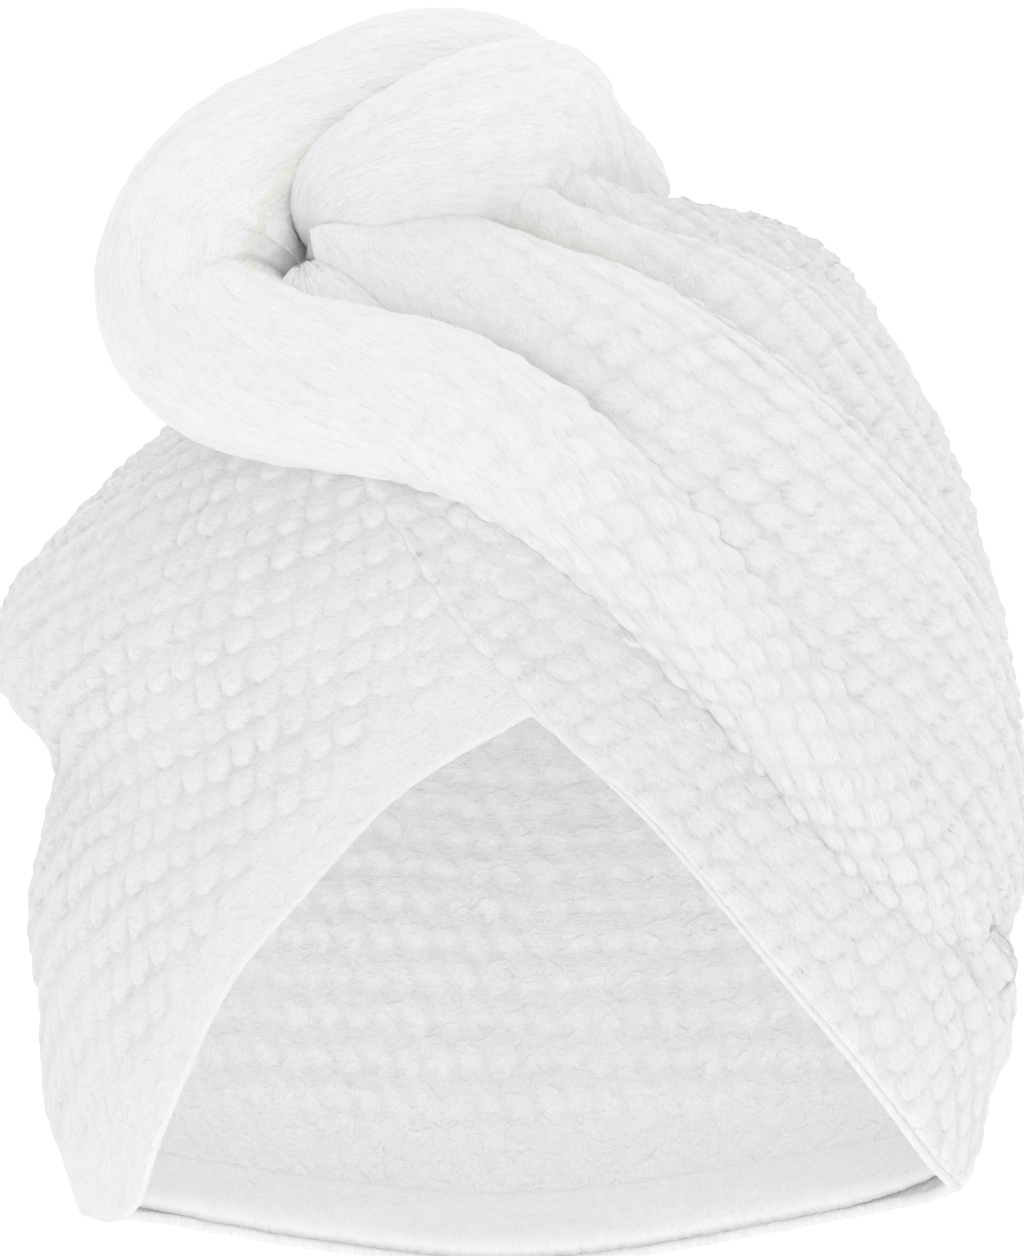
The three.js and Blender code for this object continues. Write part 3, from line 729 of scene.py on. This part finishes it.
def cloth_material(name, light, dark, fibres, drawn, bump):
    """Principled cloth: the fibre group's speckle mixes two whites, one attribute mixes in a warm painted shade
    for creases and where cloth meets cloth, and the other a greyer painted shade for the hollows between nubs.
    The group's height feeds a bump. Light that enters the pile comes out a little way off."""
    material = bpy.data.materials.new(name)
    material.use_nodes = True
    nodes, links = material.node_tree.nodes, material.node_tree.links
    shader = nodes["Principled BSDF"]
    shader.inputs["Roughness"].default_value = 1.0
    shader.inputs["Specular IOR Level"].default_value = 0.1
    shader.inputs["Sheen Weight"].default_value = 0.15
    shader.inputs["Sheen Roughness"].default_value = 0.6
    shader.inputs["Subsurface Weight"].default_value = 0.3
    shader.inputs["Subsurface Radius"].default_value = (1.0, 1.0, 0.95)
    shader.inputs["Subsurface Scale"].default_value = 1.5 * MM
    cloth = nodes.new("ShaderNodeUVMap")
    cloth.uv_map = "cloth"
    group = nodes.new("ShaderNodeGroup")
    group.node_tree = FIBRES
    group.inputs["Fibres per metre"].default_value = fibres
    group.inputs["Drawn out"].default_value = drawn
    links.new(cloth.outputs["UV"], group.inputs["Cloth"])
    spread = nodes.new("ShaderNodeMapRange")
    spread.inputs["From Min"].default_value = 0.6
    spread.inputs["From Max"].default_value = 1.05
    links.new(group.outputs["Speckle"], spread.inputs["Value"])
    mixed = color_mix(nodes, links, spread.outputs["Result"], light)
    mixed.inputs["A"].default_value = (*dark, 1)
    # Painted shade: a warm white in creases and where cloth meets cloth, a greyer white between nubs.
    for label, tint in (("crease_shade", WARM_CREASE_SHADE), ("hollow_shade", HOLLOW_SHADE_WHITE)):
        mask = nodes.new("ShaderNodeAttribute")
        mask.attribute_name = label
        tinted = color_mix(nodes, links, mask.outputs["Fac"], tint)
        links.new(mixed.outputs["Result"], tinted.inputs["A"])
        mixed = tinted
    links.new(mixed.outputs["Result"], shader.inputs["Base Color"])
    raised = nodes.new("ShaderNodeBump")
    raised.inputs["Strength"].default_value = 1.0
    raised.inputs["Distance"].default_value = bump
    links.new(group.outputs["Height"], raised.inputs["Height"])
    links.new(raised.outputs["Normal"], shader.inputs["Normal"])
    return material


LIGHT_WHITE = (0.97, 0.97, 0.967)
DARK_WHITE = (0.9, 0.9, 0.897)
# The warm white below is painted shade for creases and where cloth meets cloth.
WARM_CREASE_SHADE = (0.9, 0.86, 0.77)
# The grey white below is painted shade for the hollows between nubs.
HOLLOW_SHADE_WHITE = (0.79, 0.794, 0.8)
HEM_LIGHT_WHITE = (0.975, 0.975, 0.97)
HEM_DARK_WHITE = (0.93, 0.93, 0.926)
TOWELLING = cloth_material("towelling", LIGHT_WHITE, DARK_WHITE, fibres=1900, drawn=0.6, bump=0.55 * MM)
GATHERED = cloth_material("gathered towelling", LIGHT_WHITE, DARK_WHITE, fibres=2100, drawn=0.22, bump=0.5 * MM)
HEM_CLOTH = cloth_material("hem cloth", HEM_LIGHT_WHITE, HEM_DARK_WHITE, fibres=2400, drawn=0.8, bump=0.3 * MM)
print("finishes:", [material.name for material in (TOWELLING, GATHERED, HEM_CLOTH)])

# %% [markdown]
# ## The hood
#
# The hood is one wall of towelling with an outside, a rounded rim and an inside. It could be a thin sheet
# with a Solidify modifier, but the inside doesn't have the outside's gathers and nubs. So both sides are worked
# out and joined in one closed grid that runs from the eye down the outside, round the rim and back up the
# inside. Nearly all its rows go to the outside, because the inside gets a face of its own. Its columns are
# shared out between the creases, so that a column lies in each crease and stays in it down to the rim.

# %% The hood's columns follow its creases
APEX_TURN = float(turn_from_eye(map_place(RIM["at"][APEX_ROW], RIM["elevation"][APEX_ROW])))
COLUMNS = (72, 74, 48, 46, 236)


def hood_turns(share):
    """For each share of the way, the turns of all columns: evenly spaced between one crease and the next."""
    stops = [np.full_like(share, APEX_TURN)]
    stops += [between(FOLDS, name, share) for name in ("groove", "ridge", "tuck", "crest")]
    stops.append(stops[0] + 360)
    spans = [
        first[:, None] + (last - first)[:, None] * np.arange(count) / count
        for first, last, count in zip(stops[:-1], stops[1:], COLUMNS)
    ]
    return np.concatenate(spans, 1)


def cloth_directions(azimuth, elevation, slant):
    """u and v in metres on the cap: the way round it and the height, turned by the slant of the rows."""
    round_way = np.radians(azimuth) * 0.105
    height = np.radians(elevation) * 0.115
    c, s = np.cos(np.radians(slant)), np.sin(np.radians(slant))
    return np.stack([round_way * c + height * s, height * c - round_way * s], -1)


def right_half(turn, share):
    """1 on the cloth's right half, which runs from under the front band round to the nape under the tail."""
    start = np.interp(share, [0, 0.3, 0.5, 0.7, 0.85, 1], [-20, 12, 32, 50, 66, 30])
    return ((turn % 360 > start) & (turn % 360 < 173)).astype(float)


def crease_depth(turn, share):
    """From 0 to 1: how near a point is to the bottom of a crease, as a narrow bell; it sets the painted warm
    shade there.
    """
    depth = np.zeros(turn.shape)
    for name in ("ridge", "tuck", "crest"):
        off = (turn % 360 - between(FOLDS, name, share)) * rim_reach(turn) * share / 57
        depth = np.maximum(depth, np.exp(-((off / 0.9) ** 2)))
    return 0.7 * depth * np.exp(-((share / 0.4) ** 2))


# %% [markdown]
# Where the cap's cloth runs into a strand, real cloth doesn't meet it in a sharp line. It rises in a soft
# hollow curve, as a skin of water does at a glass. The rise is greatest at the strand and gone a little way
# off, and it is left out along the strand's other side, where the strand only lies on the cap. The crown strand
# has it from its start to where the folds branch off, 75 mm along. In the eye itself the gathered cloth stands
# up in a mound, which closes the hole between both strands.

# %% The soft rise at the strands and the mound in the eye
BRANCH = 0.075
EYE_RISE = 17 * MM
EYE_WIDTH = 17 * MM
EYE_DEGREE = 1.9


def soft_rise(distance, width, height):
    """The height at the strand, falling to nothing at this width as the square of the way that is left."""
    return height * np.clip(1 - np.clip(distance, 0, None) / width, 0, 1) ** 2


def rise_to_strands(points):
    """The rise of the cap at its points: to the front strand on its inner side, and to the crown strand from
    its start to where the folds branch off."""
    distance, at, side = off_strand(points, FRONT_LINE)
    front = smooth(0.1, 0.6, side) * smooth(0.0, 0.05, at) * (1 - smooth(0.27, 0.31, at))
    rise = front * soft_rise(distance, 15 * MM, 5 * MM)
    distance, at, side = off_strand(points, CROWN_LINE)
    crown = smooth(-0.1, 0.5, side) * (1 - smooth(BRANCH, BRANCH + 0.03, at))
    return rise + crown * soft_rise(distance, 20 * MM, 7 * MM)


def way_from_eye(turn, share):
    """Metres from the eye: near it a degree of the map is about 1.9 mm of cloth."""
    return share * rim_reach(turn) * EYE_DEGREE * MM


def eye_mound(turn, share):
    """The cloth gathered up in the eye, under both strands: a soft bell about the eye."""
    return EYE_RISE * np.exp(-((way_from_eye(turn, share) / EYE_WIDTH) ** 2))


# %% The hood's mesh
HOOD_NUBS = 2.3 * MM
LEFT_SLANT = 22
RIGHT_SLANT = -38


def hood_relief(turn, share, cloth):
    """The outside's relief in metres, and the painted shade of its hollows between nubs. Nubs cover it, but for
    the smooth border along the rim and the place near the eye, where gathers run out of the eye. Softer gathers
    cross the left half's top."""
    u, v = cloth[..., 0], cloth[..., 1]
    from_rim = (1 - share) / share_of(1.0, turn)
    border = smooth(12 * MM, 17 * MM, from_rim)
    near_eye = smooth(0.08, 0.3, share)
    left = smooth(-160, -120, turn) * (1 - smooth(-30, -8, turn))
    fan = streaks(way_from_eye(turn, share), (turn % 360) * MM, 5 * MM, 3)
    fan_left = left * smooth(0.2, 0.3, share) * (1 - smooth(0.4, 0.62, share))
    covered = (0.1 + 0.9 * border) * (0.15 + 0.85 * near_eye)
    height = nubs(u, v)
    gathers = 0.5 * MM * (1 - near_eye) + 1.1 * MM * fan_left + 0.15 * MM * border
    relief = HOOD_NUBS * covered * height + gathers * fan + 0.2 * MM * pile(u, v) + 0.7 * MM * (1 - border)
    return relief, covered * nub_hollow_shade(height, u, v)


def make_hood():
    """The outside from the eye to the rim, a half round of the wall's thickness, and the inside back up. The
    inside lies a little further out than the wall's inner side, so that it stays behind the inner face."""
    out_rows, rim_rows, in_rows = 182, 5, 16
    share_out = 0.012 + 0.988 * np.linspace(0, 1, out_rows)
    share_in = 0.012 + 0.988 * np.linspace(1, 0, in_rows)
    bend = np.linspace(0, np.pi, rim_rows + 2)[1:-1]
    share = np.concatenate([share_out, np.ones(rim_rows), share_in])
    rim_lift = WALL / 2 * (np.cos(bend) - 1)
    lift = np.concatenate([np.zeros(out_rows), rim_lift, np.full(in_rows, 1.2 * MM - WALL)])
    beyond = np.concatenate([np.zeros(out_rows), WALL / 2 * np.sin(bend), np.zeros(in_rows)])
    turn = hood_turns(share)
    share = share[:, None] + share_of(1.0, turn) * beyond[:, None]
    azimuth, elevation = eye_angles(turn, share)
    reach = outside_reach(azimuth, elevation)
    inside = np.zeros((len(lift), 1))
    inside[out_rows + rim_rows :] = 1
    turn = (turn + 180) % 360 - 180
    right = right_half(turn, share)[..., None]
    cloth_left = cloth_directions((azimuth - 60) % 360 - 300, elevation, LEFT_SLANT)
    cloth_right = cloth_directions((azimuth + 90) % 360 - 90, elevation, RIGHT_SLANT)
    cloth = cloth_left + (cloth_right - cloth_left) * right
    outside = HEART + reach[..., None] * direction(azimuth, elevation)
    rise = rise_to_strands(outside[:out_rows]) + eye_mound(turn[:out_rows], share[:out_rows])
    rise = np.concatenate([rise, np.zeros((rim_rows + in_rows, rise.shape[1]))])
    relief, hollow_shade = hood_relief(turn, share, cloth)
    relief = np.where(inside > 0, 0.0, relief + rise)
    fade = 1 - smooth(0, 1, beyond / (WALL / 2))[:, None]
    points = HEART + (reach + lift[:, None] + relief * fade)[..., None] * direction(azimuth, elevation)
    # Painted warm shade in the creases of the outside, none on the inside.
    crease_shade = np.where(inside > 0, 0.0, crease_depth(turn, share))
    return make_piece("hood_cloth", "hood", points, cloth, crease_shade, hollow_shade, TOWELLING)


hood = make_hood()

# %% [markdown]
# ## The inside's face
#
# Inside, at the back, the towelling shows level rows of nubs from rim to crown, without the folds of the
# outside. The hood's grid is wide there, because it fans out from the eye. So the inner face is a thin layer of
# its own whose columns stand upright and are closest at the back, where the opening lets one look in.

# %% The inner face's mesh
FACE_THICKNESS = 0.9 * MM
INSIDE_NUBS = 1.9 * MM


def inside_reach(azimuth, elevation):
    """The distance from the heart to the wall's inner side: the cap and its dents, without folds."""
    return cap_reach(azimuth, elevation) + dent_height(azimuth, elevation) - WALL


def make_inside():
    """Rows from the crown down the seen side to just above the rim, and a few rows back up the hidden side.
    The azimuth of the columns is the way round plus a sine that draws them together at the back."""
    rows, edge_rows, hidden_rows, columns = 150, 3, 50, 420
    down, back_up = np.linspace(0.001, 1, rows) ** 0.75, np.linspace(1, 0.005, hidden_rows)
    way = np.concatenate([down, np.ones(edge_rows), back_up])
    depth = np.concatenate([np.ones(rows), np.linspace(1, -1, edge_rows + 2)[1:-1], -np.ones(hidden_rows)])
    s = 2 * np.arange(columns) / columns - 1
    from_back = 180 * (s - 0.4 / np.pi * np.sin(np.pi * s))
    azimuth = np.broadcast_to((from_back + 360) % 360 - 180, (len(way), columns))
    lowest = rim_elevation(azimuth) + 1.2
    elevation = 90 + (lowest - 90) * way[:, None]
    cloth = cloth_directions(np.broadcast_to(from_back, azimuth.shape), elevation, 0)
    u, v = cloth[..., 0], cloth[..., 1]
    above_rim = np.radians(elevation - lowest) * 0.13
    seen = np.clip(depth, 0, 1)[:, None]
    covered, height = smooth(13 * MM, 24 * MM, above_rim), nubs(u, v, 12)
    relief = INSIDE_NUBS * covered * height + 0.15 * MM * pile(u, v, 12)
    reach = inside_reach(azimuth, elevation) - FACE_THICKNESS / 2 * depth[:, None] - seen * relief
    points = HEART + reach[..., None] * direction(azimuth, elevation)
    # The hollows between the nubs get a greyer painted shade.
    hollow_shade = 0.8 * covered * nub_hollow_shade(height, u, v)
    return make_piece("inside_cloth", None, points, cloth, np.zeros((1, 1)), hollow_shade, TOWELLING)


inside = make_inside()

# %% [markdown]
# ## The front band
#
# The right half's border is folded over and crosses the left half on its way down from the brow. It is a
# strip of two layers with soft round edges. Extruding a ribbon would give it square edges, so its grid goes
# right round the strip instead: over the top, round the free edge, and back along the underside.

# %% The band's table and its mesh
BAND = table(
    "at upper lower raise",
    [
        [-12, 0.26, 0.31, 1.0],
        [-4, 0.28, 0.37, 1.0],
        [3, 0.31, 0.46, 1.0],
        [10, 0.35, 0.58, 1.0],
        [15, 0.38, 0.73, 1.0],
        [20, 0.42, 0.87, 1.0],
        [27, 0.47, 1.0, 1.0],
        [40, 0.54, 1.0, 1.0],
        [47, 0.61, 1.0, 1.0],
        [56, 0.69, 1.0, 1.0],
        [66, 0.78, 1.0, 1.0],
        [76, 0.84, 1.0, 1.0],
        [88, 0.89, 1.0, 0.9],
        [102, 0.92, 1.0, 0.65],
        [118, 0.945, 1.0, 0.4],
        [134, 0.97, 1.0, 0.25],
    ],
)


BAND_NUBS = 2.0 * MM
BAND_ROUND_OFF = 3.2 * MM
SEAM_WIDTH = 9 * MM


def make_band():
    """Rings across the strip. The way round a ring is split into the top and the underside, and its thickness
    falls to nothing at both edges as the height of a flattened circle does. Where the strip is sewn to the
    left half, up to a turn of about 27 degrees, it is thinner and its edges run out softly into a seam."""
    rows, side = 320, 70
    turn = np.linspace(BAND["at"][0], BAND["at"][-1], rows)[:, None]
    upper = between(BAND, "upper", turn)
    lower = between(BAND, "lower", turn) - share_of(EDGE_INSET, turn)
    across = 0.35 * (0.5 - 0.5 * np.cos(np.linspace(0, np.pi, side))) + 0.65 * np.linspace(0, 1, side)
    way = np.concatenate([across, across[::-1][1:-1]])[None]
    top = np.concatenate([np.ones(side), np.zeros(side - 2)])[None]
    share = upper + (lower - upper) * way
    width = (lower - upper) / share_of(1.0, turn)
    from_edge = np.minimum(way, 1 - way) * width
    round_off = np.sqrt(1 - (1 - np.clip(from_edge / BAND_ROUND_OFF, 0, 1)) ** 2)
    sewn = 1 - smooth(22, 32, turn)
    round_off = round_off + (smooth(0, SEAM_WIDTH, from_edge) - round_off) * sewn
    thick = BAND_THICKNESS * between(BAND, "raise", turn) * (1 - 0.6 * sewn)
    over = 0.3 * (1 - sewn) + (0.7 + 0.3 * sewn) * round_off
    under = (0.3 - 0.3 * round_off) * (1 - sewn)
    sunk = 0.8 * MM * sewn * (1 - round_off) + 0.3 * MM * (1 - top) * sewn
    lift = GAP - sunk + thick * np.where(top > 0, over, under)
    turn = np.broadcast_to(turn, share.shape)
    azimuth, elevation = eye_angles(turn, share)
    cloth = cloth_directions(azimuth, elevation, RIGHT_SLANT)
    u, v = cloth[..., 0], cloth[..., 1]
    height = nubs(u, v, 20)
    relief = BAND_NUBS * height + 0.2 * MM * streaks(u, v, 4 * MM) + 0.2 * MM * pile(u, v)
    reach = outside_reach(azimuth, elevation) + lift + top * round_off * relief
    points = HEART + reach[..., None] * direction(azimuth, elevation)
    # The underside gets a painted warm shade, and the hollows between nubs a greyer painted shade.
    crease_shade = np.where(top > 0, 0.0, 0.6) * np.ones(share.shape)
    hollow_shade = round_off * nub_hollow_shade(height, u, v)
    return make_piece("front_band_cloth", "front_band", points, cloth, crease_shade, hollow_shade, TOWELLING)


band = make_band()

# %% [markdown]
# ## The hem
#
# The cloth's edge is turned in and sewn down all round the opening. At the nape it shows from inside as a
# flat, smoother strip that thins out upwards, and it reaches a little way past the wall's rim there. Its grid
# goes round the strip and then right round the rim.

# %% The hem's mesh
HEM_ROUND_OFF = 2.2 * MM
NAPE_REACH = 1.8 * MM
HEM_NUBS = 0.5 * MM


def make_hem():
    """A closed ring: each ring of points goes round the strip's section, which is round at the rim and thins
    out softly towards its upper edge. Both edges are sunk in the wall, and the strip is thicker at the nape."""
    rows, side = 620, 16
    stops = np.append(hood_turns(np.ones(1))[0], APEX_TURN + 360)
    turn = np.interp(np.arange(rows) / rows, np.linspace(0, 1, len(stops)), stops)[:, None]
    across = np.linspace(0, 1, side)
    way = np.concatenate([across, across[::-1][1:-1]])[None]
    facing = np.concatenate([np.ones(side), np.zeros(side - 2)])[None]
    rim_azimuth, _ = eye_angles(turn, np.ones(turn.shape))
    nape = smooth(95, 130, np.abs(rim_azimuth))
    inset = EDGE_INSET + HEM_WIDTH * way - NAPE_REACH * nape * (1 - way)
    share = 1 - inset * share_of(1.0, turn)
    sunk = 0.75 * MM * (1 - smooth(0, 0.12, way) * (1 - smooth(0.85, 1, way)))
    rounded = np.sqrt(1 - (1 - np.clip(way * HEM_WIDTH / HEM_ROUND_OFF, 0, 1)) ** 2)
    thinned = smooth(0, 0.8, 1 - way)
    section = rounded * thinned * (0.3 + 0.7 * nape)
    thick = FACE_THICKNESS / 2 - sunk + (HEM_THICKNESS - FACE_THICKNESS / 2) * section
    lift = np.where(facing > 0, -thick, 0.4 * MM)
    turn = np.broadcast_to(turn, share.shape)
    azimuth, elevation = eye_angles(turn, share)
    cloth = cloth_directions(azimuth % 360 - 180, elevation, 0)
    u, v = cloth[..., 0], cloth[..., 1]
    relief = -facing * section * (HEM_NUBS * nubs(u, v, 40) + 0.15 * MM * pile(u, v, 40))
    reach = inside_reach(azimuth, elevation) + lift + relief
    points = HEART + reach[..., None] * direction(azimuth, elevation)
    plain = np.zeros((1, 1))
    return make_piece("hem_cloth", "hem", points, cloth, plain, plain, HEM_CLOTH, wrap_rows=True)


hem = make_hem()

# %% [markdown]
# ## The two strands
#
# A curve with a bevel could make each strand, but its section would be the same ellipse all along. Here a
# section's width and height come from the line's table, and its underside is pressed onto the hood. Where a
# strand turns round the eye and where it is wound in the tail, the cloth is drawn together in gathers that
# run along it. Elsewhere it keeps the nubs of the flat cloth.

# %% A strand pressed onto the hood
STRAND_SINK = 1.5 * MM
STRAND_NUBS = 2.3


def over_hood(points):
    """How far points lie outside the hood's cloth, and whether the hood lies under them at all."""
    azimuth, elevation, distance = angles_of(points)
    return distance - outside_reach(azimuth, elevation), elevation > rim_elevation(azimuth)


def seated(points):
    """Points that would lie inside the hood are moved out along their arrow from the heart, until they are
    only a little under its outside."""
    height, covered = over_hood(points)
    rise = np.where(covered, np.clip(-STRAND_SINK - height, 0, None), 0)
    return points + rise[..., None] * unit(points - HEART)


def make_strand(name, node, line, other, seed, rings, sides, start, fill_until, nubby):
    """Ellipses square to the line, closed round at both ends like a sausage. They start at their undersides.
    The inner half of each can be wider or narrower than the other half. After the section is pressed onto the
    hood, its inner side rises softly where it comes near it, as far along as fill_until, and nubs, gathers and
    pile are moved out. nubby is the share of their full height that this strand's nubs have."""
    length = line["at"][-1]
    at = start + (np.arange(rings) + 0.5) / rings * (length - start)
    middle, _, out, side = frames_on(line, at)
    width, height, inner = (between(line, column, at) for column in ("width", "height", "inner"))
    near_end = np.clip(np.minimum(at - start, length - at) / width, 0, 1)
    rounding = np.sqrt(1 - (1 - near_end) ** 2)[:, None]
    angle = (2 * np.pi * np.arange(sides) / sides - np.pi / 2)[None]
    wound = smooth(0.5, 0.65, at / length)[:, None]
    drift = at[:, None] * 9
    pleats = 1 + 0.05 * wound * (np.cos(3 * angle + drift) + 0.6 * np.cos(5 * angle - 1.7 * drift + seed))
    half_width = width[:, None] * np.where(np.cos(angle) > 0, inner[:, None], 1)
    across = (np.cos(angle) * pleats * half_width * rounding)[..., None]
    upward = (np.sin(angle) * pleats * height[:, None] * rounding)[..., None]
    points = middle[:, None] + across * side[:, None] + upward * out[:, None]
    points = seated(points)
    over, covered = over_hood(points)
    soft = covered * smooth(0.0, 0.5, np.cos(angle)) * (1 - smooth(fill_until, fill_until + 0.04, at))[:, None]
    points = seated(moved_out(points, soft * rounding * soft_rise(over, 12 * MM, 4 * MM)))
    u = np.broadcast_to(at[:, None], over.shape)
    v = angle * width.mean() + 0.25 * at[:, None]
    gathered = (smooth(0.15, 0.21, at) * (1 - smooth(0.36, 0.42, at)))[:, None]
    slim = np.clip(width / (12 * MM), 0, 1)[:, None]
    nub = nubs(u, v, seed)
    nub_share = nubby * slim * (1 - 0.75 * gathered) * (1 - 0.3 * wound)
    gathers = (0.2 + 0.45 * gathered + 0.3 * wound) * streaks(u, v, 3 * MM, seed)
    relief = STRAND_NUBS * nub_share * nub + gathers + 0.2 * pile(u, v, seed)
    points = seated(moved_out(points, rounding * MM * relief))
    to_other, _, _ = off_strand(points, other)
    # Painted warm shade where the strand lies on the hood or meets the other strand.
    contact_shade = np.exp(-((over / (1.8 * MM)) ** 2)) * nub_share * (1 - soft)
    contact_shade = np.maximum(contact_shade, np.exp(-((to_other / (1.5 * MM)) ** 2)))
    cloth = np.stack([u, v], -1)
    # The hollows between nubs get a greyer painted shade.
    hollow_shade = nub_share * nub_hollow_shade(nub, u, v)
    return make_piece(name, node, points, cloth, 0.8 * contact_shade, hollow_shade, GATHERED)


front_roll = make_strand(
    "front_roll_cloth",
    "front_roll",
    FRONT_LINE,
    CROWN_LINE,
    seed=60,
    rings=600,
    sides=160,
    start=0,
    fill_until=0.24,
    nubby=1,
)
crown_roll = make_strand(
    "crown_roll_cloth",
    "crown_roll",
    CROWN_LINE,
    FRONT_LINE,
    seed=80,
    rings=400,
    sides=150,
    start=13 * MM,
    fill_until=BRANCH,
    nubby=0.35,
)

# %% [markdown]
# ## The loop and the button
#
# The button and its loop keep their CAD shapes, because they are small, hard or thin, and exact there. They
# only get their finish: a covered elastic cord and a satin button.

# %% Finishes of the fastening


def solid_material(name, color, roughness, scale, bump):
    """Principled with fine noise on Object coordinates in its bump."""
    material = bpy.data.materials.new(name)
    material.use_nodes = True
    nodes, links = material.node_tree.nodes, material.node_tree.links
    shader = nodes["Principled BSDF"]
    shader.inputs["Base Color"].default_value = (*color, 1)
    shader.inputs["Roughness"].default_value = roughness
    place = nodes.new("ShaderNodeTexCoord")
    grain = noise_node(nodes, 3.0, 0.5, 0.0)
    grain.inputs["Scale"].default_value = scale
    links.new(place.outputs["Object"], grain.inputs["Vector"])
    raised = nodes.new("ShaderNodeBump")
    raised.inputs["Strength"].default_value = bump
    raised.inputs["Distance"].default_value = 0.2 * MM
    links.new(grain.outputs["Fac"], raised.inputs["Height"])
    links.new(raised.outputs["Normal"], shader.inputs["Normal"])
    return material


for node, material in (
    ("loop", solid_material("elastic cord", (0.86, 0.86, 0.85), 0.8, 1500, 0.5)),
    ("button", solid_material("satin button", (0.88, 0.87, 0.83), 0.3, 300, 0.1)),
):
    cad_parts[node].data.materials.clear()
    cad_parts[node].data.materials.append(material)

# %% [markdown]
# ## The studio
#
# The towel is held up as a head holds it, in front of a white background. The floor lies well below it. A
# large soft light from above, a little to the right, models the folds while a bright surround keeps the whites
# white. A second one from the front fills the shadows, and a very weak one in the head space lights the inside.
# The floor has a dimmer paper than the wall, or it would light the cloth from below as strongly as from above.

# %% Floor, backdrop, lights and camera
CAMERA_DISTANCE = 1.8
METRES_PER_PIXEL = 0.215 * MM
CAMERA_HEIGHT = -66.4 * MM
PICTURE_HEIGHT = 1256
PICTURE_GAMMA = 1.2


def make_stage():
    """A floor that curves up into a wall far behind the towel, as one profile carried sideways."""
    floor, wall_y, bend = -0.6, 2.6, 0.8
    turn = np.linspace(0, np.pi / 2, 16)
    y = np.concatenate([[-4.0], wall_y - bend + bend * np.sin(turn), [wall_y]])
    z = np.concatenate([[floor], floor + bend * (1 - np.cos(turn)), [3.0]])
    side = np.array([-5.0, 5.0])
    points = np.stack([np.repeat(side[:, None], len(y), 1), np.tile(y, (2, 1)), np.tile(z, (2, 1))], -1)
    k = np.arange(len(y) - 1)
    faces = np.stack([k, k + len(y), k + len(y) + 1, k + 1], -1)
    mesh = bpy.data.meshes.new("backdrop")
    mesh.from_pydata(points.reshape(-1, 3).tolist(), [], faces.tolist())
    mesh.shade_smooth()
    stage = bpy.data.objects.new("backdrop", mesh)
    bpy.context.scene.collection.objects.link(stage)
    for name, white, glow in (("wall paper", 0.92, 0.45), ("floor paper", 0.87, 0.2)):
        material = bpy.data.materials.new(name)
        material.use_nodes = True
        shader = material.node_tree.nodes["Principled BSDF"]
        shader.inputs["Base Color"].default_value = (white, white, white, 1)
        shader.inputs["Roughness"].default_value = 1.0
        shader.inputs["Emission Color"].default_value = (1, 1, 1, 1)
        shader.inputs["Emission Strength"].default_value = glow
        mesh.materials.append(material)
    mesh.polygons[0].material_index = 1


def area_light(name, place, target, size, power, color):
    """A square soft light at a place, turned to a target."""
    data = bpy.data.lights.new(name, "AREA")
    data.energy, data.size, data.color = power, size, color
    lamp = bpy.data.objects.new(name, data)
    lamp.location = place
    lamp.rotation_euler = (Vector(target) - Vector(place)).to_track_quat("-Z", "Y").to_euler()
    bpy.context.scene.collection.objects.link(lamp)


make_stage()
world = bpy.data.worlds.new("surround")
bpy.context.scene.world = world
world.use_nodes = True
surround = world.node_tree.nodes["Background"].inputs
surround["Color"].default_value = (0.97, 0.985, 1.0, 1)
surround["Strength"].default_value = 0.84
area_light("key", (0.25, -0.3, 1.45), (0, 0, -0.05), size=1.4, power=4.3, color=(1.0, 0.99, 0.975))
area_light("fill", (0.1, -2.0, -0.3), (0, 0, -0.1), size=0.8, power=2.2, color=(1.0, 1.0, 1.0))
area_light("opening", (0, -0.02, -0.12), (0, 0.1, -0.08), size=0.1, power=0.036, color=(1.0, 1.0, 1.0))

camera_data = bpy.data.cameras.new("camera")
camera_data.sensor_fit = "VERTICAL"
camera_data.lens = camera_data.sensor_height * CAMERA_DISTANCE / (PICTURE_HEIGHT * METRES_PER_PIXEL)
camera = bpy.data.objects.new("camera", camera_data)
camera.location = (0, -CAMERA_DISTANCE, CAMERA_HEIGHT)
camera.rotation_euler = (math.pi / 2, 0, 0)
bpy.context.scene.collection.objects.link(camera)
bpy.context.scene.camera = camera
bpy.context.scene.view_settings.view_transform = "Standard"
bpy.context.scene.view_settings.gamma = PICTURE_GAMMA
